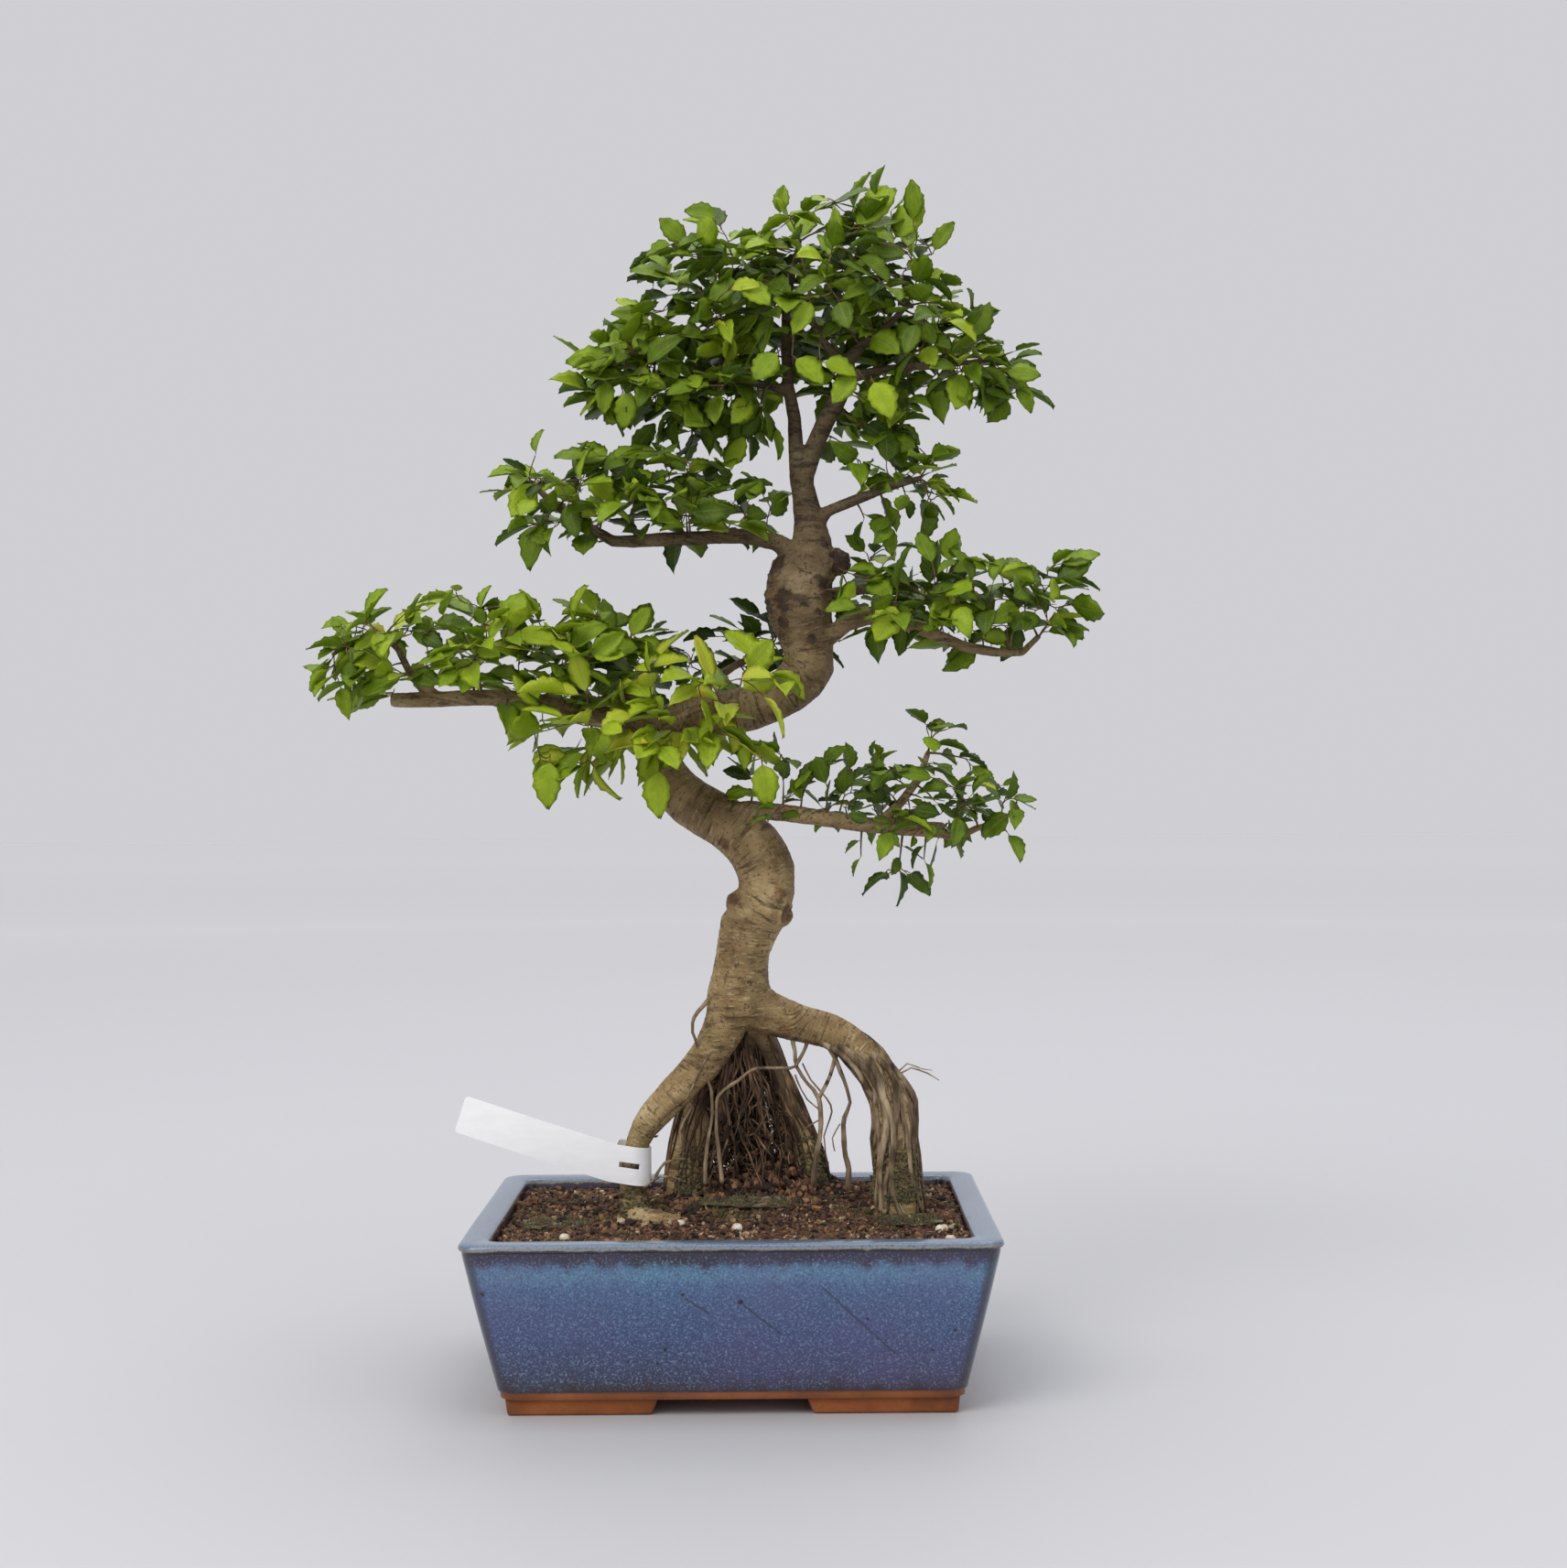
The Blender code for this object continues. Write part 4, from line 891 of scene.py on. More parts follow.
# %% Mix the bark
def make_bark():
    """Grey-tan bark with cross cracks, freckles and dark wounds, and painted shade under the crown and
    the fork.
    """
    bark = Finish("elm_bark", Roughness=0.8)
    base = bark.ramp(bark.noise(45, 5, 0.6), [
        (0.28, (0.10875, 0.0696, 0.029)), (0.42, (0.22475, 0.15225, 0.0696)),
        (0.56, (0.348, 0.25375, 0.12325)), (0.74, (0.551, 0.4495, 0.261))])
    moss = bark.span(bark.noise(30, 3, shift=(3.1, 1.2, 0.4)), 0.55, 0.75, 0.0, 0.55)
    base = bark.mix(moss, base, (0.13, 0.125, 0.035))
    rust = bark.span(bark.noise(70, 4, shift=(7.3, 2.2, 5.4)), 0.6, 0.72, 0.0, 0.7)
    base = bark.mix(rust, base, (0.26, 0.115, 0.035))
    walked = bark.attribute("along")
    where = bark.add("ShaderNodeSeparateXYZ", {"Vector": bark.place}).outputs
    across = bark.add("ShaderNodeCombineXYZ", {
        "X": bark.maths("MULTIPLY", where["X"], 0.22), "Y": bark.maths("MULTIPLY", where["Y"], 0.22),
        "Z": walked}).outputs[0]
    dashes = bark.noise(750, 3, 0.6, at=across)
    lines = bark.noise(330, 4, 0.6, at=across)
    base = bark.mix(bark.span(dashes, 0.56, 0.7, 0.0, 0.6), base, (0.52, 0.45, 0.29))
    base = bark.mix(bark.span(lines, 0.46, 0.36, 0.0, 0.7), base, (0.045, 0.026, 0.012))
    freckles = bark.span(bark.noise(520, 3), 0.57, 0.68, 0.0, 0.8)
    base = bark.mix(freckles, base, (0.055, 0.033, 0.018))
    specks = bark.span(bark.noise(900, 3, 0.7), 0.6, 0.7, 0.0, 0.6)
    base = bark.mix(specks, base, (0.45, 0.38, 0.26))
    wound = bark.attribute("scar")
    edge = bark.maths("ADD", wound, bark.maths("MULTIPLY", bark.maths(
        "SUBTRACT", bark.noise(190, 4), 0.5), 1.6))
    heal = bark.ramp(bark.noise(260, 4), [(0.35, (0.03, 0.014, 0.01)), (0.55, (0.11, 0.05, 0.025)),
                                         (0.72, (0.24, 0.12, 0.05))])
    base = bark.mix(bark.span(edge, 0.45, 0.75, 0.0, 0.85), base, heal)
    # Painted shade: the bark is darkened upwards, where the crown shades it.
    climb = bark.span(where["Z"], SOIL_LINE, SOIL_LINE + 450 * MM)
    painted_crown_shade = bark.ramp(climb, [(0.3, (1.0, 0.94, 0.83)), (0.6, (0.76, 0.71, 0.64)),
                            (0.69, (0.50, 0.45, 0.40)), (0.84, (0.31, 0.28, 0.25))])
    base = bark.mix(1.0, base, painted_crown_shade, blend="MULTIPLY")
    # Painted shade: the bark of the legs under the fork, round the middle of the roots, is darkened.
    plan = bark.add("ShaderNodeCombineXYZ", {
        "X": where["X"], "Y": bark.maths("MULTIPLY", where["Y"], 1.6)}).outputs[0]
    middle = tree_point(12, 20, 0)
    gap = bark.apart(plan, (middle.x, middle.y * 1.6, 0))
    painted_fork_shade = bark.maths("MULTIPLY", bark.span(gap, 37 * MM, 27 * MM, 0.0, 0.8),
                      bark.span(where["Z"], SOIL_LINE + 106 * MM, SOIL_LINE + 86 * MM))
    base = bark.mix(painted_fork_shade, base, (0.055, 0.034, 0.02))
    bark.link(Base_Color=base, Roughness=bark.span(lines, 0.3, 0.7, 0.92, 0.72))
    height = bark.maths("ADD", bark.maths("MULTIPLY", lines, 1.2), bark.maths(
        "ADD", bark.maths("MULTIPLY", bark.noise(1100, 3), 0.35), dashes))
    return bark.bump(height, 0.8 * MM, 1.0).material


elm_bark = make_bark()
for place_name, band in zip(("low", "middle", "high"), wood_bands):
    hand_over(f"wood_{place_name}", band, elm_bark, ["trunk"], smooth=False)

# %% [markdown]
# ## One leaf
#
# An elm leaf is oval with a pointed tip and saw teeth, 12 to 22 mm long, on a stalk
# of a few millimetres. The blade folds a little along its midrib and curls down
# towards the tip. It starts as a small grid: each row gets its width from the leaf's
# outline, the margin's rows step in and out as teeth, and a second sheet under the
# first closes it into a thin lens. Six slightly different leaves are enough, because
# every copy is turned, bent over and sized differently. The grid's own UV map runs
# across and along the blade, and the veins are drawn on it.

# %% Shape six leaves
LEAF_ROWS = 11
LEAF_COLUMNS = 4
STALK_ROWS = 2
BLADE_THICK = 0.016         # this and the next are shares of the blade's length
STALK_HALF = 0.016
TOOTH_IN, TOOTH_OUT, TOOTH_AHEAD = 0.93, 1.07, 0.018


def blade_width(along, roundness):
    """Half-width of the blade, as a share of its length, at 0 (base) to 1 (tip)."""
    return roundness * math.sin(math.pi * min(1.0, along) ** 0.82) ** 0.8 + 0.012


def shape_leaf(name, roundness, fold, droop, twist):
    """A closed leaf of unit blade length that points along +Y, with its face up."""
    bm = bmesh.new()
    uv = bm.loops.layers.uv.new("blade")
    bmesh.ops.create_grid(bm, x_segments=LEAF_COLUMNS, y_segments=LEAF_ROWS, size=0.5,
                          calc_uvs=False)
    stalk = STALK_ROWS / LEAF_ROWS
    for face in bm.faces:
        for loop in face.loops:
            place = loop.vert.co
            loop[uv].uv = (place.x + 0.5, (place.y + 0.5 - stalk) / (1 - stalk))
    for vertex in bm.verts:
        across = vertex.co.x * 2
        row = round((vertex.co.y + 0.5) * LEAF_ROWS)
        along = (row - STALK_ROWS) / (LEAF_ROWS - STALK_ROWS)
        if along <= 0:
            half, y = STALK_HALF, along * 0.9
        else:
            tooth = TOOTH_OUT if row % 2 else TOOTH_IN
            half = blade_width(along, roundness) * (tooth if abs(across) > 0.9 else 1.0)
            y = along + TOOTH_AHEAD * (row % 2) * (abs(across) > 0.9)
        lift = fold * abs(across) * half * 2 - droop * max(0.0, along) ** 2 * 0.5
        ripple = 0.012 * math.sin(row * 2.1) * abs(across) * (along > 0)
        vertex.co = Vector((across * half, y, lift + ripple + twist * across * along * 0.1))
    under = bmesh.ops.duplicate(bm, geom=bm.verts[:] + bm.edges[:] + bm.faces[:])["geom"]
    sheet = [g for g in under if isinstance(g, bmesh.types.BMFace)]
    for vertex in {v for face in sheet for v in face.verts}:
        if not vertex.is_boundary:
            vertex.co.z -= BLADE_THICK
    bmesh.ops.reverse_faces(bm, faces=sheet)
    bmesh.ops.remove_doubles(bm, verts=bm.verts, dist=1e-5)
    bmesh.ops.recalc_face_normals(bm, faces=bm.faces)
    mesh = bpy.data.meshes.new(name)
    bm.to_mesh(mesh)
    bm.free()
    mesh.attributes.new("tone", "FLOAT", "POINT")
    mesh.shade_smooth()
    return mesh


# Name, half-width as a share of the length, fold, droop and twist.
LEAF_KINDS = [("leaf_flat", 0.30, 0.10, 0.12, 0.3), ("leaf_folded", 0.29, 0.34, 0.26, -0.4),
              ("leaf_round", 0.37, 0.16, 0.30, 0.2), ("leaf_drooping", 0.31, 0.22, 0.62, 0.5),
              ("leaf_narrow", 0.25, 0.30, 0.34, -0.6), ("leaf_broad", 0.35, 0.06, 0.05, -0.2)]
LEAVES = [shape_leaf(*kind) for kind in LEAF_KINDS]
print("leaf faces", [len(leaf.polygons) for leaf in LEAVES])


# %% [markdown]
# ## Leaf green
#
# A young leaf in the light is lime, an older or shaded one dark green, and an ageing
# one turns yellow at the margin. Every leaf carries one tone for that. Side veins
# leave the midrib at a steep angle and are paler than the blade, which also bulges
# between them. The stalk is brown. Light passes through a leaf, so some of the
# shader is translucent.


# %% Mix the leaf green
SIDE_VEINS = 9
SEE_THROUGH = 0.28


def make_leaf_finish():
    """Veined green that brightens with a leaf's tone."""
    green = Finish("elm_leaf", Roughness=0.42, IOR=1.42, Specular_IOR_Level=0.35)
    tone = green.attribute("tone")
    patch = green.maths("MULTIPLY", green.maths("SUBTRACT", green.noise(160, 2), 0.5), 0.35)
    tone = green.maths("ADD", tone, patch)
    blade = green.ramp(tone, [
        (0.0, (0.014, 0.030, 0.004)), (0.22, (0.042, 0.085, 0.006)), (0.42, (0.125, 0.205, 0.007)),
        (0.62, (0.265, 0.39, 0.012)), (0.80, (0.45, 0.58, 0.022)), (0.94, (0.56, 0.62, 0.05)),
        (1.0, (0.66, 0.53, 0.04))])
    uv = green.add("ShaderNodeUVMap", uv_map="blade").outputs[0]
    across = green.maths("ABSOLUTE", green.maths("SUBTRACT", green.axis("X", uv), 0.5))
    along = green.axis("Y", uv)
    midrib = green.span(across, 0.018, 0.045, 1.0, 0.0)
    slant = green.maths("SUBTRACT", along, green.maths("MULTIPLY", across, 0.42))
    wave = green.maths("SINE", green.maths("MULTIPLY", slant, 2 * math.pi * SIDE_VEINS))
    side_vein = green.span(wave, 0.72, 0.97)
    veins = green.maths("MAXIMUM", midrib, green.maths("MULTIPLY", side_vein, 0.7))
    pale = green.mix(0.5, blade, (0.35, 0.46, 0.10))
    colour = green.mix(green.maths("MULTIPLY", veins, 0.6), blade, pale)
    stalk = green.span(along, 0.02, -0.03)
    colour = green.mix(stalk, colour, (0.22, 0.13, 0.03))
    green.link(Base_Color=colour, Roughness=green.span(green.noise(500, 2), 0.3, 0.7, 0.34, 0.5))
    green.bump(green.maths("SUBTRACT", 1.0, veins), 0.25 * MM, 0.7)
    through = green.add("ShaderNodeBsdfTranslucent", {"Color": green.mix(
        0.35, colour, (0.42, 0.55, 0.02))})
    both = green.add("ShaderNodeMixShader", {
        0: SEE_THROUGH, 1: green.shader.outputs[0], 2: through.outputs[0]})
    output = green.tree.nodes["Material Output"]
    green.tree.links.new(both.outputs[0], output.inputs["Surface"])
    return green.material


leaf_green = make_leaf_finish()
print("finish", leaf_green.name)


# %% Mix the twig brown
def make_twig_finish():
    """Thin young bark: brown, greener at random."""
    twig = Finish("twig_bark", Roughness=0.75)
    twig.link(Base_Color=twig.ramp(twig.noise(160, 3), [
        (0.3, (0.055, 0.032, 0.018)), (0.5, (0.13, 0.075, 0.04)), (0.7, (0.21, 0.15, 0.07))]))
    return twig.bump(twig.noise(900, 3), 0.2 * MM, 0.6).material


twig_bark = make_twig_finish()
print("finish", twig_bark.name)

# %% [markdown]
# ## Growing the pads
#
# A pad of leaves is many short shoots on a few limbs. Each plain solid says where a
# pad is, so points scattered inside it are the tips that the shoots must reach. Tips
# close to the wood are served first, and each later shoot leaves the nearest wood or
# earlier shoot, which gives side shoots on side shoots as on the tree. Leaves stand
# in turn on the left and right of a shoot, with one at its tip. They face the sky
# and the outside of the pad. Their tone carries painted light: leaves on top and at
# the front of a pad are painted lighter, as lit, and those deep inside darker, as
# painted shade.

# %% What each pad is like
# Number of shoots, usual length of a leaf in millimetres, and tone of the leaves. The
# tone is partly painted light: the back pads are painted darker, as shaded, and the
# low front pad lighter, as lit.
PAD_HABIT = {
    "crown_top": (235, 17.0, 0.50), "crown_left": (108, 17.5, 0.50), "crown_right": (126, 17.0, 0.50),
    "upper_left": (108, 17.0, 0.50), "upper_right": (26, 16.0, 0.48), "mid_right": (90, 17.0, 0.50),
    "low_left": (160, 17.0, 0.64), "low_front": (64, 19.5, 0.80), "low_right": (108, 13.0, 0.42),
    "back_low": (60, 15.0, 0.24), "back_high": (22, 15.0, 0.28),
}
UP = Vector((0, 0, 1))
print("shoots to grow", sum(habit[0] for habit in PAD_HABIT.values()))

# %% Choose where the shoots end
CROWDED_RIND = 12 * MM      # tips thin out deeper than this
SHADED_DEPTH = 16 * MM
TIP_RADIUS = 0.32 * MM


def inside_points(solid, low, high, count, dice):
    """Scattered points inside a closed solid, more of them near its surface."""
    points = []
    while len(points) < count:
        place = Vector([dice.uniform(a, b) for a, b in zip(low, high)])
        near, normal, _, depth = solid.find_nearest(place)
        if (place - near).dot(normal) < 0 and depth > 1.5 * MM:
            if dice.random() < math.exp(-max(0.0, depth - CROWDED_RIND) / SHADED_DEPTH):
                points.append(place)
    return points


def shoot_path(start, heading, tip, width):
    """A shoot that leaves along a heading and ends at its tip."""
    reach = (tip - start).length
    bend = start + heading * reach * 0.45
    steps = max(3, round(reach / (5 * MM)))
    path = []
    for step in range(steps + 1):
        t = step / steps
        place = start.lerp(bend, t).lerp(bend.lerp(tip, t), t)
        path.append((place, width + (TIP_RADIUS - width) * t))
    return path


print("rind with the most shoots", round(CROWDED_RIND / MM), "mm")

# %% Hang leaves along a shoot
LEAF_STEP = 5.1 * MM
LEAF_LONGEST, LEAF_SHORTEST = 1.35, 0.5     # shares of a pad's usual length
STALK_SHARE = 0.16
BRIGHT_SHARE, BRIGHT_STEP = 0.12, 0.14      # some leaves are a step brighter


def leaf_stand(place, ahead, face, length):
    """Where a leaf lies: its base, the way it points and the way it faces."""
    across = ahead.cross(face).normalized()
    normal = across.cross(ahead).normalized()
    turn = Matrix((across, ahead.normalized(), normal)).transposed().to_4x4()
    return Matrix.Translation(place) @ turn @ Matrix.Scale(length, 4)


def hang_leaf(bm, place, ahead, face, length, tone, dice):
    """Add one leaf to a pad."""
    leaf = dice.choice(LEAVES).copy()
    leaf.transform(leaf_stand(place + ahead * STALK_SHARE * length, ahead, face, length))
    leaf.attributes["tone"].data.foreach_set("value", [tone] * len(leaf.vertices))
    bm.from_mesh(leaf)
    bpy.data.meshes.remove(leaf)


def leaves_along(bm, path, solid, middle, habit, dice):
    """Leaves in turn on both sides of a shoot and one at its tip."""
    _, usual, tone = habit
    side = dice.choice((-1, 1))
    walked = dice.uniform(0.2, 0.9) * LEAF_STEP
    for index in range(1, len(path)):
        (before, _), (place, _) = path[index - 1], path[index]
        ahead = (place - before).normalized()
        walked += (place - before).length
        last = index == len(path) - 1
        if walked < LEAF_STEP and not last:
            continue
        walked = 0.0
        side = -side
        outward = (place - middle).normalized()
        flat = ahead.cross(UP)
        flat = flat.normalized() if flat.length > 0.1 else Vector((1, 0, 0))
        scatter = Vector([dice.gauss(0, 1) for _ in range(3)])
        way = ahead * (1.1 if last else 0.55) + flat * side * (0.1 if last else 0.9)
        way = (way + outward * 0.25 + scatter * 0.22 - UP * dice.uniform(0.05, 0.45)).normalized()
        face = (UP * 0.62 + outward * 0.45 + scatter * 0.36 + Vector((0, -0.22, 0))).normalized()
        length = usual * MM * min(LEAF_LONGEST, max(LEAF_SHORTEST, dice.gauss(1.0, 0.2)))
        # Painted light and shade: a leaf on top or at the front of its pad gets a lighter tone, as
        # lit, and one deep inside the pad a darker one, as shaded.
        young = 0.10 * outward.z - 0.05 * outward.y
        near, normal, _, depth = solid.find_nearest(place)
        inner = min(1.0, depth / SHADED_DEPTH) if (place - near).dot(normal) < 0 else 0.0
        shade = tone + young - 0.2 * inner + dice.gauss(0, 0.11)
        shade += BRIGHT_STEP if dice.random() < BRIGHT_SHARE else 0
        hang_leaf(bm, place, way, face, length, min(0.93, max(0.06, shade)), dice)


print("a leaf every", round(LEAF_STEP / MM, 1), "mm")


# %% Grow the pads
def grow_pad(name, habit, dice):
    """Shoots and leaves of one pad as two pieces, and the knots on its shoots."""
    node = f"foliage_{name}"
    solid = BVHTree.FromBMesh(merged_copy(node))
    low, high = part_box(node)
    middle = (low + high) / 2 - UP * (high.z - low.z) * 0.35
    tips = inside_points(solid, low, high, habit[0], dice)
    tips.sort(key=lambda tip: wood_tree.find_nearest(tip)[3])
    twigs, leaves = bmesh.new(), bmesh.new()
    knots = []
    for tip in tips:
        start, normal, _, gap = wood_tree.find_nearest(tip)
        width = (0.5 + 0.012 * gap / MM) * MM
        heading = (normal + UP * 0.5 + (tip - start).normalized()).normalized()
        near = min(knots, key=lambda knot: (knot[0] - tip).length, default=None)
        if near and (near[0] - tip).length < gap * 0.85:
            start, heading = near[0], (near[1] + (tip - near[0]).normalized() * 0.8).normalized()
            width = near[2]
        if (tip - start).length < 5 * MM:
            continue
        path = shoot_path(start, heading, tip, width)
        add_stem(twigs, path, 5)
        for index in range(1, len(path)):
            place, radius = path[index]
            knots.append((place, (place - path[index - 1][0]).normalized(), radius))
        leaves_along(leaves, path, solid, middle, habit, dice)
    hand_over(f"shoots_{name}", twigs, twig_bark, [node])
    hand_over(f"leaves_{name}", leaves, leaf_green, [node])
    return knots


tree_knots = []
for number, (pad_name, pad_habit) in enumerate(PAD_HABIT.items()):
    tree_knots += grow_pad(pad_name, pad_habit, random.Random(100 + number))
print("knots on the shoots", len(tree_knots))

# %% [markdown]
# ## Leaves that stand out
#
# The eye knows a tree by a few leaves: the ones that break the crown's outline and
# the large bright ones that hang in front. Those are placed one by one, each on a
# stalk from the nearest shoot, so that the outline stays the same whatever the
# scattered leaves do.

# %% Hang them one by one
# Base and tip in drawn millimetres, then the tone. The tone is partly painted light:
# the leaves that hang in front are given the lighter tones, as lit.
LONE_LEAVES = [
    ((-4, -6, 520), (-19, -8, 525), 0.50), ((-20, -6, 506), (-33, -8, 518), 0.52),
    ((27, -4, 521), (29, -6, 535), 0.58), ((64, -6, 514), (84, -10, 531), 0.66),
    ((85, -8, 506), (99, -12, 525), 0.66), ((106, -8, 500), (115, -12, 514), 0.52),
    ((-38, -10, 462), (-58, -14, 452), 0.58), ((-57, -12, 443), (-79, -16, 447), 0.62),
    ((-62, -12, 437), (-64, -16, 420), 0.58), ((142, -8, 439), (159, -10, 437), 0.60),
    ((148, -8, 433), (156, -10, 420), 0.52), ((-90, -46, 241), (-92, -50, 219), 0.70),
    ((-35, -48, 236), (-37, -52, 214), 0.72), ((16, -46, 239), (19, -50, 218), 0.72),
    ((27, -36, 446), (15, -41, 432), 0.62), ((33, -36, 443), (47, -40, 431), 0.68),
    ((47, -36, 440), (63, -40, 435), 0.66), ((73, -34, 432), (82, -38, 414), 0.76),
    ((66, -34, 436), (55, -38, 421), 0.64), ((44, -36, 472), (35, -40, 456), 0.62),
    ((6, -36, 482), (20, -40, 470), 0.70), ((-72, -30, 386), (-60, -36, 372), 0.76),
    ((-98, -30, 382), (-108, -36, 365), 0.74), ((86, -34, 318), (76, -40, 301), 0.76),
    ((112, -30, 322), (104, -36, 306), 0.66),
]


def hang_lone_leaves():
    """Stalks and blades of the leaves that are placed one by one."""
    dice = random.Random(31)
    twigs, leaves = bmesh.new(), bmesh.new()
    for drawn_base, drawn_tip, tone in LONE_LEAVES:
        base, tip = tree_point(*drawn_base), tree_point(*drawn_tip)
        knot = min(tree_knots, key=lambda knot: (knot[0] - base).length)
        way = (tip - base).normalized()
        if (knot[0] - base).length > 2 * MM:
            heading = (knot[1] + UP * 0.4).normalized()
            add_stem(twigs, shoot_path(knot[0], heading, base, 0.5 * MM), 5)
        tilt = Vector((dice.uniform(-0.3, 0.3), -1.0, dice.uniform(0.3, 0.7)))
        hang_leaf(leaves, base, way, tilt.normalized(), (tip - base).length, tone, dice)
    return twigs, leaves


lone_twigs, lone_leaves = hang_lone_leaves()
crown = ["foliage_crown_top", "foliage_crown_left", "foliage_crown_right"]
hand_over("shoots_lone", lone_twigs, twig_bark, crown)
hand_over("leaves_lone", lone_leaves, leaf_green, crown)

# %% [markdown]
# ## Roots in the air
#
# Under the fork hangs everything that a root-over-air tree grows once its soil is
# washed away. Fibrous roots fill the middle as a ragged dark cone, ropes of root run
# down over the thick legs, and a few pale aerial roots cross the open arch on their
# own. All of them are stems with four to eight sides: a loop scatters the fibres, the
# ropes follow a leg's guide line at a slowly turning angle, half sunk in its bark,
# and the aerial roots, which catch the eye, follow routes chosen one by one.

# %% Routes of the aerial roots, in drawn millimetres with their radius
AERIAL_ROOTS = [
    [(38, -6, 90, 1.0), (32, -9, 80, 0.9), (25, -9, 79, 0.8), (10, -8, 78, 0.8),
     (2, -9, 72, 0.9), (-8, -10, 64, 0.8), (-9, -11, 46, 0.9), (-7, -12, 30, 1.1), (-6, -12, 20, 1.2)],
    [(31, -4, 94, 1.3), (33, -8, 79, 1.0), (38, -9, 71, 0.9), (44, -9, 63, 1.3),
     (45, -9, 46, 1.3), (42, -9, 30, 1.5), (41, -10, 18, 1.6)],
    [(54, -8, 89, 1.4), (50, -10, 75, 1.0), (44, -9, 63, 1.1)],
    [(49, -8, 92, 1.5), (57, -11, 73, 1.1), (60, -12, 61, 1.0), (57, -12, 53, 1.3),
     (57, -12, 37, 1.4), (59, -13, 27, 1.6), (59, -13, 16, 1.7)],
    [(36, -5, 81, 0.4), (40, -4, 72, 0.5), (48, -2, 62, 0.5), (51, -2, 55, 0.5), (47, -1, 42, 0.4),
     (49, 0, 26, 0.4)],
    [(32, -7, 75, 0.5), (35, -6, 67, 0.4), (38, -6, 62, 0.4), (44, -7, 57, 0.4)],
    [(55, -11, 50, 0.4), (51, -12, 43, 0.35), (52, -13, 36, 0.3)],
    [(44, -9, 52, 0.4), (37, -9, 47, 0.35), (35, -9, 41, 0.3)],
    [(-13, -6, 114, 1.3), (-18, -11, 109, 1.1), (-21, -13, 103, 0.9), (-21, -13, 98, 0.8),
     (-19, -12, 92, 0.8), (-17, -8, 85, 0.9)],
    [(92, -13, 79, 0.5), (100, -14, 76, 0.35), (106, -16, 73, 0.25)],
    [(90, -12, 81, 0.4), (98, -10, 78, 0.3), (103, -8, 77, 0.2)],
    [(-22, -3, 58, 0.8), (-28, -6, 46, 0.5), (-27, -8, 36, 0.4)],
    [(-17, -7, 78, 0.9), (-12, -10, 70, 0.8), (-11, -12, 56, 0.8), (-14, -13, 38, 1.0),
     (-15, -13, 20, 1.1)],
    [(-42, -4, 20, 1.0), (-36, -8, 30, 0.7), (-27, -6, 32, 0.6)],
    [(-47, -8, 17, 0.7), (-38, -14, 24, 0.6), (-29, -11, 22, 0.6)],
]
print("aerial roots", len(AERIAL_ROOTS))


# %% Follow a route
def drawn_path(route, spacing=4.0, wobble=0.5):
    """A route as places and radii, with the small kinks of a real root."""
    path = []
    for x, y, z, radius in smooth_route(route, spacing):
        place = tree_point(x, y, z)
        kink = Vector((hill(place, 0.006, 2), hill(place, 0.006, 6), hill(place, 0.006, 9)))
        size = max(0.15, radius * (1 + 0.25 * hill(place, 0.004, 12)))
        path.append((place + kink * wobble * MM, size * MM))
    return path


def rope_path(route, begin, end, angle, turn, radius, proud, dice):
    """A strand on a leg's surface, from one share of its length to another."""
    guide = [(tree_point(*p[:3]), p[3] * MM) for p in smooth_route(route, 4.0)]
    first, last = round(begin * (len(guide) - 1)), round(end * (len(guide) - 1))
    drift = dice.uniform(0, 40)
    path = []
    for index in range(first, last + 1):
        place, leg = guide[index]
        after, before = guide[min(index + 1, len(guide) - 1)][0], guide[max(index - 1, 0)][0]
        ahead = (after - before).normalized()
        front = Vector((0, -1, 0))
        front = (front - ahead * front.dot(ahead)).normalized()
        share = (index - first) / max(1, last - first)
        sway = 0.5 * noise.noise(Vector((drift, share * 3.0, 0)))
        way = Matrix.Rotation(angle + turn * share + sway, 3, ahead) @ front
        near, normal, _, _ = wood_tree.find_nearest(place + way * leg)
        taper = 1.0 - 0.45 * share
        size = radius * taper * (1 + 0.2 * noise.noise(Vector((drift, share * 9.0, 4))))
        loose = proud * (0.7 + 0.6 * noise.noise(Vector((drift, share * 4.0, 8))))
        loose = loose * min(1.0, share * 6) - 1.1 * max(0.0, 1 - share * 6)
        path.append((near + normal * size * loose, size))
    return path


print("points on the first aerial root", len(drawn_path(AERIAL_ROOTS[0])))

